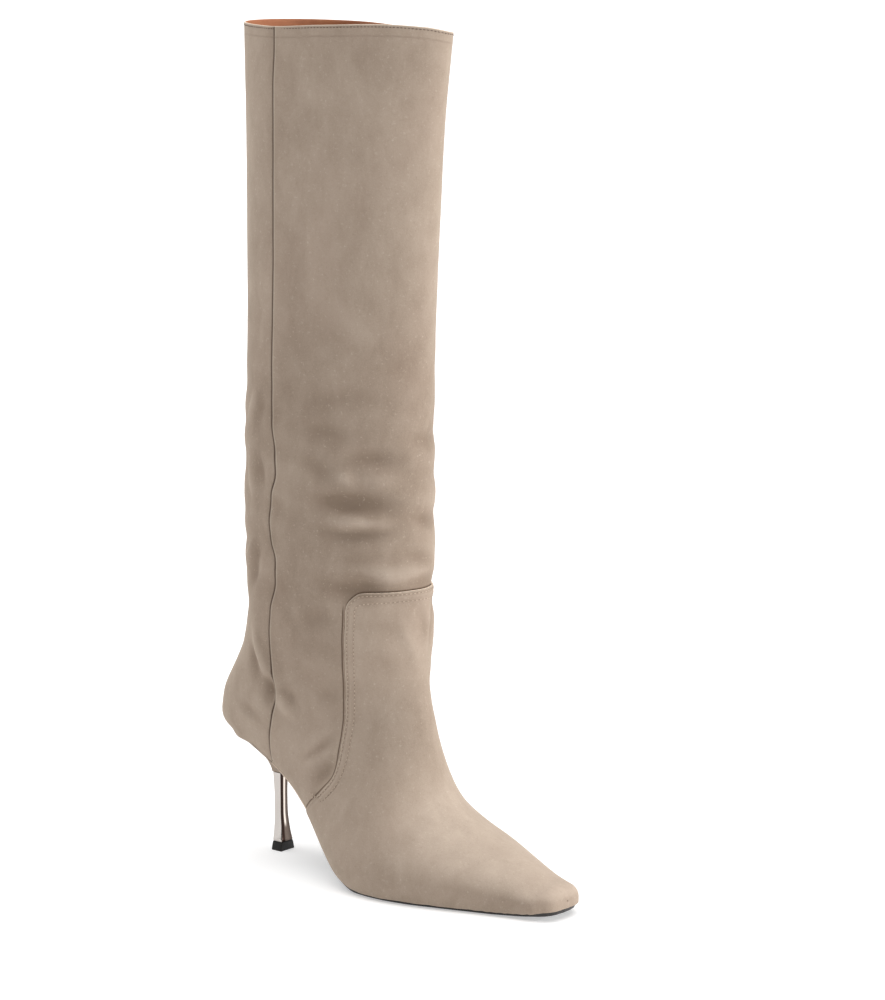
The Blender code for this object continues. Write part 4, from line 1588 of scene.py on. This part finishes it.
@dataclass
class Vamp:
    """The vamp, a second hide lapped over the leg, with a rounded cut edge and two rows of stitches."""

    form: BootForm
    skin: Skin
    relief: Relief
    top: float = 0.1560
    rise: float = 0.0026
    corner: float = 0.0080
    hem: float = 0.0012
    hang: float = 0.0015
    edge_steps_mm: tuple[float, ...] = (0, 0.3, 0.7, 1.1, 1.6, 2.3, 3.2, 4.1, 5.0, 6.0)
    inset_mm: tuple[float, float] = (1.4, 5.1)
    sewn_depth_mm: float = 0.13
    puff_mm: float = 0.14
    puff_inset_mm: float = 2.8
    edge_share: float = 0.40
    row_start: float = 0.011
    middle: Array = field(default_factory=lambda: np.array([0.105, 0.0, 0.08]))
    sewn_line: Array = field(default_factory=lambda: np.zeros((0, 3)))
    path: Array = field(default_factory=lambda: np.zeros((0, 3)))
    face: Array = field(default_factory=lambda: np.zeros((0, 3)))
    face_normals: Array = field(default_factory=lambda: np.zeros((0, 3)))

    def top_edge(self, x: Array) -> Array:
        """Height of the top edge at X x."""
        rear = float(self.form.at_length(VAMP_SIDE[0, 1]))
        reach = float(self.form.at_length(ANKLE_ROWS[0].front_along)) - rear
        return self.top + self.rise / reach * (x - rear)

    def side_room(self, points: Array) -> Array:
        """How far points lie ahead of the rear edge with its rounded top corner.

        Args:
            points: Points, with a last axis of three.

        Returns:
            Metres, negative behind the edge.
        """
        x, z = points[..., 0], points[..., 2]
        up = VAMP_SIDE[::-1]
        line = self.form.at_length(smooth(up[:, 0], up[:, 1], z / self.top))
        left = np.clip(self.corner - (self.top_edge(x) - z), 0, self.corner)
        return x - line - self.corner + np.sqrt(self.corner ** 2 - left ** 2)

    def hem_room(self, points: Array) -> Array:
        """How far points lie over the hem, in metres, negative below it."""
        return points[..., 2] - self.form.sole_line(points[..., 0]) - self.form.gap - self.hem

    def layout(self) -> tuple[Array, Array, int]:
        """Places and turns of the mesh, its rows crowded at the top edge and its columns at the rear edges.

        Returns:
            Places and turns by row and column, and the number of the last row that ends at the rear edge and
            not at the hem.
        """
        skin = self.skin
        turns = np.linspace(-1, 1, 161)
        tops = np.array([skin.place_at(t, lambda p: self.top_edge(p[:, 0]) - p[:, 2]) for t in turns])
        shares = np.linspace(0, 1, 700)

        def place_of(share: Array, turn: Array) -> Array:
            """The place at a share of the way from the top edge to the toe."""
            return np.interp(turn, turns, tops) * (1 - share) + skin.last * share

        probe = np.array([-0.6, -0.3, 0.0, 0.3, 0.6])
        lines = skin.points(place_of(shares[:, None], probe[None]), np.tile(probe, (len(shares), 1)))
        moved = np.linalg.norm(np.diff(lines, axis=0), axis=2).max(axis=1)
        travel = np.concatenate([[0], np.cumsum(moved)]) / MM
        steps = np.array(self.edge_steps_mm)
        middle = np.linspace(steps[-1] + 1.4, travel[-1] - 2.4, int((travel[-1] - 9) / 1.5))
        rows_mm = np.concatenate([steps, middle, travel[-1] - np.array([1.6, 0.9, 0.4, 0])])
        row_shares = np.interp(rows_mm, travel, shares)
        probe = np.linspace(0, 1, 500)
        place_rows, turn_rows, at_side = [], [], []
        crowded_mm, even_columns = 16, 40
        for share in row_shares:
            limits, sides = [], []
            for side in Side:
                signed = probe * side.value
                points = skin.points(place_of(share, signed), signed)
                room_side, room_hem = self.side_room(points), self.hem_room(points)
                room = np.minimum(room_side, room_hem)
                if share >= 1:
                    room = room_hem
                out = np.nonzero(room[1:] < 0)[0]
                k = out[0] + 1 if len(out) else len(probe) - 1
                before, after = room[k - 1], room[k]
                part = before / (before - after) if before > 0 > after else 1.0
                limits.append(probe[k - 1] + np.clip(part, 0, 1) * (probe[k] - probe[k - 1]))
                sides.append(room_side[k] < room_hem[k])
            at_side.append(all(sides))
            halves = []
            for limit, side in zip(limits, Side):
                arc = float(skin.arc(place_of(share, limit * side.value))) / MM
                full = limit * arc
                near = steps * min(1, full / crowded_mm)
                even = np.linspace(near[-1], full, even_columns)[1:]
                halves.append((limit - np.concatenate([near, even]) / arc) * side.value)
            turn = np.concatenate([halves[0], halves[1][-2::-1]])
            turn_rows.append(turn)
            place_rows.append(place_of(share, turn))
        last_side = max(i for i, flag in enumerate(at_side) if flag)
        return np.array(place_rows), np.array(turn_rows), last_side

    def build(self) -> bpy.types.Object:
        """Model and dress the vamp, and keep its sewn edge and its face for the stitches.

        Returns:
            The piece.
        """
        place, turn, last_side = self.layout()
        plain = self.skin.points(place, turn)
        normal = self.skin.normals(place, turn)
        stand = self.relief.height(place, turn, plain)
        inner = plain + normal * (self.form.gap + stand)[..., None]
        inner[-1] = (inner[-1] + inner[-1, ::-1]) / 2
        self.sewn_line = np.vstack([plain[last_side::-1, 0], plain[0], plain[:last_side + 1, -1]])
        hem_line = np.vstack([plain[last_side:, 0], plain[last_side:, -1]])
        flat = plain.reshape(-1, 3)
        to_edge = self.nearest(flat, self.sewn_line).reshape(stand.shape) / MM
        to_hem = self.nearest(flat, hem_line).reshape(stand.shape) / MM
        nearest = np.minimum(to_edge, to_hem)
        roll = self.edge_share + (1 - self.edge_share) * np.sqrt(1 - (1 - np.clip(nearest, 0, 1)) ** 2)
        sewn = sum(-self.sewn_depth_mm * np.exp(-((to_edge - inset) / 0.5) ** 2) for inset in self.inset_mm)
        puffed = self.puff_mm * np.exp(-((to_edge - self.puff_inset_mm) / 0.8) ** 2)
        wall = self.form.vamp_wall * roll + (sewn + puffed) * MM
        face = plain + normal * (self.form.gap + stand + wall)[..., None]
        face[-1] = (face[-1] + face[-1, ::-1]) / 2
        face, inner = (self.form.settled(sheet, self.hang, 0.0) for sheet in (face, inner))
        # The normals' upward part is kept for the vamp's painted top light
        piece = shaped_grid("vamp_suede", face, {
            "inner": inner, "crease": stand / MM, "edge": np.clip(to_edge, 0, 60),
            "painted_top_light": normal[..., 2]}, flip=True)
        dress(piece, "suede", Suede(Dressing.VAMP).material(), CutEdge().material())
        walled(piece, (0, 1))
        shade(piece, 50)
        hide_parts("vamp")
        self.path = np.vstack([face[last_side::-1, 0], face[0], face[:last_side + 1, -1]])
        self.face, self.face_normals = face.reshape(-1, 3), normal.reshape(-1, 3)
        return piece

    def outside(self, points: Array) -> Array:
        """How far points of the leg lie outside the vamp's sewn edge.

        Args:
            points: Points, one per row, in metres.

        Returns:
            Millimetres, negative under the vamp.
        """
        far = self.nearest(points, self.sewn_line) / MM
        covered = (self.side_room(points) > 0) & (points[:, 2] < self.top_edge(points[:, 0]))
        return np.where(covered, -far, far)

    @staticmethod
    def nearest(points: Array, line: Array) -> Array:
        """Distance of each point from the nearest of a line's points, the line made fine first.

        Args:
            points: Points, one per row.
            line: The line's points.

        Returns:
            The distances.
        """
        length = travelled(line)
        fine = along_line(line, length, np.arange(0, length[-1], 0.0006))
        out = np.empty(len(points))
        batch = 2000
        for start in range(0, len(points), batch):
            part = points[start:start + batch]
            out[start:start + batch] = np.sqrt(((part[:, None] - fine[None]) ** 2).sum(axis=2).min(axis=1))
        return out

    def inset_line(self, inset: float) -> tuple[Array, Array]:
        """A line on the vamp, a distance in from its stitched edge.

        Args:
            inset: The distance, in metres.

        Returns:
            The line's points and the normals there.
        """
        step = np.linalg.norm(np.diff(self.path, axis=0), axis=1)
        path = self.path[np.concatenate([[True], step > 1e-6])]
        length = travelled(path)
        travel = np.arange(self.row_start, length[-1] - self.row_start, 0.0008)
        near = 0.0015
        base = along_line(path, length, travel)
        along = unit(along_line(path, length, travel + near) - along_line(path, length, travel - near))
        line, normals = [], []
        for point, forward in zip(base, along):
            closest = int(((self.face - point) ** 2).sum(axis=1).argmin())
            inward = np.cross(self.face_normals[closest], forward)
            if ((self.middle - point) @ inward) < 0:
                inward = -inward
            guess = point + inward * inset
            found = int(((self.face - guess) ** 2).sum(axis=1).argmin())
            up = self.face_normals[found]
            drop = float((guess - self.face[found]) @ up)
            line.append(guess - drop * up)
            normals.append(up)
        line, normals = np.array(line), np.array(normals)
        for _ in range(12):
            line[1:-1] = 0.5 * line[1:-1] + 0.25 * (line[2:] + line[:-2])
        return line, normals

    def sew(self) -> list[bpy.types.Object]:
        """Sew the two rows of stitches along the rear edges and the top.

        Returns:
            The rows, one piece each.
        """
        thread = Thread("taupe_thread", linear(188, 170, 152)).material()
        stitching = Stitching(thread)
        pieces = []
        for number, inset in enumerate(self.inset_mm, 1):
            line, normals = self.inset_line(inset * MM)
            pieces.append(stitching.run(f"vamp_stitches_{number}", line, normals))
        return pieces


@dataclass
class Collar:
    """The row of fine dark stitches that holds the lining to the hide just below the rim."""

    form: BootForm
    skin: Skin
    relief: Relief
    drop_mm: float = 1.3

    def sew(self) -> bpy.types.Object:
        """Sew the stitches, all the way round.

        Returns:
            The row.
        """
        turn = np.linspace(-1, 1, 500)
        sparse = turn[::10]
        place = np.interp(turn, sparse, [self.skin.place_at(t, self.below_rim) for t in sparse])
        points, normals = self.skin.points(place, turn), self.skin.normals(place, turn)
        points[..., 2] += self.relief.collar_rise(turn, points)
        thread = Thread("dark_thread", linear(96, 78, 66)).material()
        return Stitching(thread, pitch=0.0019, length=0.0014, width=0.00042, rise=0.0).run(
            "collar_stitches", points, normals)

    def below_rim(self, points: Array) -> Array:
        """How far below the row's own line some points lie."""
        return self.skin.table[0, 0, 2] - points[:, 2] - self.drop_mm * MM - self.fall(points)

    def fall(self, points: Array) -> Array:
        """How far the collar's rim has fallen at some points.

        Args:
            points: Points, one per row.

        Returns:
            Metres below the rim's height at the back.
        """
        low, high = self.skin.table[0, 0], self.skin.table[0, len(self.skin.turns) // 2]
        share = (points[:, 0] - low[0]) / (high[0] - low[0])
        return np.clip(share, 0, 1) * (low[2] - high[2])


def inset_station(form: BootForm, place: Array, inset: float) -> tuple[Array, Array, Array]:
    """The sole line's outline at one place, brought in from its edge.

    Args:
        form: The boot's form.
        place: Where along X.
        inset: How far it is brought in, in metres.

    Returns:
        X and the outer and inner half-widths.
    """
    first, last = float(form.at_length(OUTLINE[0, 0])), float(form.at_length(OUTLINE[-1, 0]))
    off_middle = (2 * place - first - last) / (last - first)
    widths = [np.maximum(form.outline(place, side) - inset, 0) for side in Side]
    return place - inset * off_middle ** 5, widths[0], widths[1]


@dataclass
class Outsole:
    """The thin outsole, from the heel's breast to the toe, with a black waxed edge."""

    form: BootForm
    inset: float = 0.0002
    bevel: float = 0.0018
    stations: int = 110
    edge: tuple[tuple[float, float], ...] = (
        (0.00, 0.00), (0.00, 0.30), (0.06, 0.52), (0.24, 0.76), (0.55, 0.93), (1.00, 1.00))
    tread_slope: float = -0.70

    def build(self) -> bpy.types.Object:
        """Model and dress the outsole, waxed at its edge and bare below.

        Returns:
            The piece.
        """
        form = self.form
        start = float(form.at_length(OUTLINE[0, 0])) + form.seat_length + form.gap
        end = float(form.at_length(1))
        places = start + (end - start) * np.sin(np.linspace(0, math.pi / 2, self.stations))
        rings = []
        for place in places:
            outer, inner = [], []
            for inward, down in self.edge:
                x, left, right = inset_station(form, place, self.inset + inward * self.bevel)
                z = float(form.sole_line(x)) * (1 - down) + float(form.sole_bottom(x)) * down
                outer.append((float(x), -float(left), z))
                inner.append((float(x), float(right), z))
            across = np.linspace(0, 1, 9)[1:-1]
            floor = [tuple(np.array(outer[-1]) * (1 - s) + np.array(inner[-1]) * s) for s in across]
            rings.append([*outer, *floor, *inner[::-1], outer[0]])
        piece = shaped_grid("outsole_dressed", np.array(rings), fill=True)
        for face in piece.data.polygons:
            face.material_index = 1 if face.normal.z < self.tread_slope else 0
        shade(piece, 60)
        dress(piece, "sole_edge", WaxedEdge().material(), SoleLeather().material())
        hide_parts("outsole")
        return piece


@dataclass
class Heel:
    """The suede-covered block under the seat, the slim metal and its rubber tip."""

    form: BootForm
    stem_top: float = 0.0430
    stem_length: float = 0.0066
    stem_width: float = 0.0089
    stem_lean: float = 0.0018
    stem_edge: float = 0.0004
    tip_height: float = 0.0048
    tip_length: float = 0.0072
    tip_width: float = 0.0110
    tip_lip: float = 0.0001
    tip_edge: float = 0.0005
    flare: float = 1.5
    seat_inset: float = 0.0001
    fullness: float = 0.0008
    profile: tuple[tuple[float, float, float, float], ...] = (
        (0.00, 1.00, 1.00, 0.00), (0.10, 0.91, 0.87, 0.16), (0.21, 0.83, 0.76, 0.30),
        (0.44, 0.71, 0.66, 0.55), (0.66, 0.72, 0.64, 0.60), (0.87, 0.80, 0.66, 0.70),
        (1.00, 0.86, 0.69, 0.76))

    @staticmethod
    def oblong(x: float, z: float, length: float, width: float, edge: float) -> list[Point]:
        """A level oblong with rounded corners.

        Args:
            x: X of its middle.
            z: Its height.
            length: Its size along X.
            width: Its size along Y.
            edge: Radius of its corners.

        Returns:
            Its points, the last the first again.
        """
        half, side = length / 2 - edge, width / 2 - edge
        ring = []
        for quarter, (a, b) in enumerate(((1, 1), (-1, 1), (-1, -1), (1, -1))):
            for turn in np.linspace(0, math.pi / 2, 4):
                angle = turn + quarter * math.pi / 2
                ring.append((x + a * half + edge * math.cos(angle), b * side + edge * math.sin(angle), z))
        return [*ring, ring[0]]

    def build_metal(self) -> bpy.types.Object:
        """Model and dress the metal, waisted, with crisp arrises and a foot that is eased in.

        Returns:
            The piece.
        """
        table = np.array(self.profile)
        foot = self.tip_height + self.form.gap
        rings = []
        eased, most_tuck = 0.012, 0.00012
        for up in np.concatenate([[0.0, eased / 3], np.linspace(eased, 1, 44)]):
            length, width, back = (float(smooth(table[:, 0], table[:, c], up)) for c in (1, 2, 3))
            tuck = most_tuck * (1 - min(up / eased, 1)) ** 2
            rings.append(self.oblong(
                -self.stem_lean * back, foot + up * (self.stem_top - foot),
                self.stem_length * length - 2 * tuck, self.stem_width * width - 2 * tuck, self.stem_edge))
        rings = np.array(rings)
        half = rings[..., 1].max(axis=1, keepdims=True)
        piece = shaped_grid("heel_metal", rings, {"across": rings[..., 1] / half}, fill=True)
        facing_toe = 0.35
        front = [1.0 if face.normal.x > facing_toe else 0.0 for face in piece.data.polygons]
        piece.data.attributes.new("front", "FLOAT", "FACE").data.foreach_set("value", front)
        shade(piece, 30)
        dress(piece, "heel_metal", ChampagneMetal().material())
        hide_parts("heel_stem")
        return piece

    def build_tip(self) -> bpy.types.Object:
        """Model and dress the rubber tip, with eased edges.

        Returns:
            The piece.
        """
        rings = []
        lip_length, lip_width = self.stem_length + 2 * self.tip_lip, self.stem_width + 2 * self.tip_lip
        eased = ((0.0, 0.25), (0.05, 0.05), (0.10, 0.0), (0.5, 0.0), (0.90, 0.0), (0.96, 0.04), (1.0, 0.20))
        for share, tuck_mm in eased:
            tuck = tuck_mm * MM
            length = self.tip_length + (lip_length - self.tip_length) * share - 2 * tuck
            width = self.tip_width + (lip_width - self.tip_width) * share - 2 * tuck
            rings.append(self.oblong(0, share * self.tip_height, length, width, self.tip_edge))
        piece = shaped_grid("heel_tip_rubber", np.array(rings), fill=True)
        shade(piece, 40)
        dress(piece, "tip_rubber", HeelRubber().material())
        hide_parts("heel_tip")
        return piece

    def build_block(self) -> bpy.types.Object:
        """Model and dress the covered block, spreading from the metal's top to the seat.

        Returns:
            The piece.
        """
        form, stations, corner = self.form, 48, 16
        first = float(form.at_length(OUTLINE[0, 0]))
        top = self.profile[-1]
        half_neck = self.stem_width * top[2] / 2
        half_length = self.stem_length * top[1] / 2
        rear, front = -self.stem_lean - half_length, -self.stem_lean + half_length
        seat, neck = [], []
        for i, turn in enumerate(np.linspace(0, math.pi / 2, stations + 1)):
            station = inset_station(form, first + form.seat_length * (1 - math.cos(turn)), self.seat_inset)
            seat.append([float(v) for v in station])
            along = max(i - corner, 0) / (stations - corner)
            half = half_neck * min(i / corner, 1)
            neck.append((rear + along * (front - rear), half, half))
        rings = []
        for up in np.linspace(0, 1, 28):
            spread = up ** self.flare
            half = []
            for low, high in zip(neck, seat):
                x, outer, inner = (a + (b - a) * spread for a, b in zip(low, high))
                height = float(form.sole_line(high[0])) - self.stem_top - form.gap
                z = self.stem_top + form.gap + up * height
                half.append((x, outer, inner, z))
            ring = [(x, -outer, z) for x, outer, _, z in half]
            ring += [(x, inner, z) for x, _, inner, z in half[:0:-1]]
            rings.append([*ring, ring[0]])
        piece = shaped_grid("heel_block_suede", form.settled(np.array(rings), 0.0, self.fullness), fill=True)
        shade(piece, 50)
        dress(piece, "suede", Suede(Dressing.HEEL).material())
        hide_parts("heel_block")
        return piece


@dataclass
class FeatherHighlight:
    """The fine pale edge that shows between the upper and the sole, from the side seam to the forefoot: a
    painted highlight along the feather line, made as a pale tube.
    """

    form: BootForm
    first_x: float = 0.0135
    last_x: float = 0.0560
    radius: float = 0.00045
    inset: float = 0.0001
    lift: float = 0.00005

    def build(self, side: Side) -> bpy.types.Object:
        """The edge along one side.

        Args:
            side: Which side.

        Returns:
            The piece.
        """
        form = self.form
        xs = np.linspace(self.first_x, self.last_x, 60)
        out = form.outline(xs, side) - self.inset
        path = np.stack([xs, side.value * out, form.sole_line(xs) + self.lift], axis=1)
        along = unit(np.gradient(path, axis=0))
        across = unit(np.cross(along, (0, 0, 1)))
        up = np.cross(across, along)
        end_angle = 0.12
        taper = self.radius * np.sin(np.linspace(end_angle, math.pi - end_angle, len(xs))) ** 0.3
        angles = np.linspace(0, 2 * math.pi, 11)
        ring = (np.cos(angles)[None, :, None] * across[:, None] + np.sin(angles)[None, :, None] * up[:, None])
        points = path[:, None] + taper[:, None, None] * ring
        points[:, -1] = points[:, 0]
        piece = shaped_grid(f"pale_edge_{side.name.lower()}", points, fill=True)
        shade(piece, 60)
        dress(piece, "suede", CutEdge("painted_highlight_edge", linear(212, 195, 178)).material())
        return piece


@dataclass
class Studio:
    """A plain pale floor, soft light and the photograph's camera, turned by toe_angle from the boot's side."""

    toe_angle: float = 43.0
    distance: float = 1.850
    elevation: float = 16.3
    pixels_per_mm: float = 1.83
    heel_pixel: tuple[float, float] = (283.0, 848.5)
    picture: tuple[int, int] = (885, 1000)
    sensor: float = 36.0
    surround: float = 0.14
    floor_glow: float = 0.42

    def place_camera(self) -> None:
        """Put the camera where the picture was taken from, with the heel tip on its own pixel."""
        turn, drop = math.radians(self.toe_angle), math.radians(self.elevation)
        place = Vector((self.distance * math.sin(turn), -self.distance * math.cos(turn),
                        self.distance * math.tan(drop)))
        focal = self.pixels_per_mm * 1000 * place.length
        right, down = self.heel_pixel[0] - self.picture[0] / 2, self.heel_pixel[1] - self.picture[1] / 2
        reach = math.sqrt(focal ** 2 + right ** 2 + down ** 2)
        pitch = math.atan2(down, focal) - math.asin(reach * math.sin(drop) / math.hypot(focal, down))
        level = focal * math.cos(pitch) + down * math.sin(pitch)
        heading = math.atan2(-place.y, -place.x) + math.atan2(right, level)
        data = bpy.data.cameras.new("camera")
        data.sensor_fit = "VERTICAL"
        data.sensor_height = self.sensor
        data.lens = focal * self.sensor / self.picture[1]
        data.clip_start, data.clip_end = 0.05, 60
        camera = bpy.data.objects.new("camera", data)
        camera.location = place
        camera.rotation_euler = (math.pi / 2 + pitch, 0, heading - math.pi / 2)
        bpy.context.scene.collection.objects.link(camera)
        bpy.context.scene.camera = camera
        log.info("camera: lens %.2f mm, pitch %.2f degrees", data.lens, math.degrees(pitch))

    def lay_floor(self) -> None:
        """A plain pale floor."""
        deselect_all()
        bpy.ops.mesh.primitive_plane_add(size=30, location=(0, 0, 0))
        floor = bpy.context.object
        floor.name = "floor"
        g = Graph("pale_floor")
        cloud = g.noise(0.4, 2, 0.5)
        floor.data.materials.append(g.finish(
            g.mix(cloud, (0.74, 0.74, 0.74), (0.72, 0.72, 0.72)), 0.9, Specular_IOR_Level=0.1,
            Emission_Color=(1.0, 1.0, 1.0, 1.0), Emission_Strength=self.floor_glow))

    @staticmethod
    def add_softbox(name: str, azimuth: float, elevation: float, spread: float, strength: float) -> None:
        """One large soft light, far off.

        Args:
            name: Its name.
            azimuth: Its bearing from the boot, in degrees from X.
            elevation: Its height over the floor, in degrees.
            spread: How wide it is from the boot, in degrees.
            strength: How white it makes a white surface that faces it.
        """
        data = bpy.data.lights.new(name, "SUN")
        data.angle = math.radians(spread)
        data.energy = strength * math.pi
        lamp = bpy.data.objects.new(name, data)
        turn, rise = math.radians(azimuth), math.radians(elevation)
        towards = Vector((math.cos(turn) * math.cos(rise), math.sin(turn) * math.cos(rise), math.sin(rise)))
        lamp.rotation_euler = towards.to_track_quat("Z", "Y").to_euler()
        bpy.context.scene.collection.objects.link(lamp)

    def light(self) -> None:
        """Soft light from above and the toe, a little from behind the heel, and an even pale surround."""
        world = bpy.data.worlds.new("surround")
        world.use_nodes = True
        ground = world.node_tree.nodes["Background"]
        ground.inputs["Color"].default_value = (1, 1, 1, 1)
        ground.inputs["Strength"].default_value = self.surround
        bpy.context.scene.world = world
        bpy.context.scene.view_settings.view_transform = "Standard"
        self.add_softbox("softbox_top", azimuth=0, elevation=90, spread=75, strength=1.02)
        self.add_softbox("softbox_toe", azimuth=20, elevation=11, spread=35, strength=0.92)
        self.add_softbox("softbox_heel", azimuth=-165, elevation=30, spread=40, strength=0.16)


def main() -> None:
    """Build the boot's pieces in order, then the studio."""
    logging.basicConfig(level=logging.INFO, format="%(message)s")
    form = BootForm()
    skin = Skin(form)
    relief = Relief(skin)
    vamp = Vamp(form, skin, relief)
    vamp.build()
    vamp.sew()
    Upper(form, skin, relief, vamp).build()
    Collar(form, skin, relief).sew()
    Outsole(form).build()
    heel = Heel(form)
    heel.build_block()
    heel.build_metal()
    heel.build_tip()
    # A pale tube on each side stands as the painted highlight along the feather line
    feather_highlight = FeatherHighlight(form)
    for side in Side:
        feather_highlight.build(side)
    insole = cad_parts["insole"]
    insole.data.materials.clear()
    insole.data.materials.append(LiningLeather().material())
    studio = Studio()
    studio.lay_floor()
    studio.light()
    studio.place_camera()


if __name__ == "__main__":
    main()
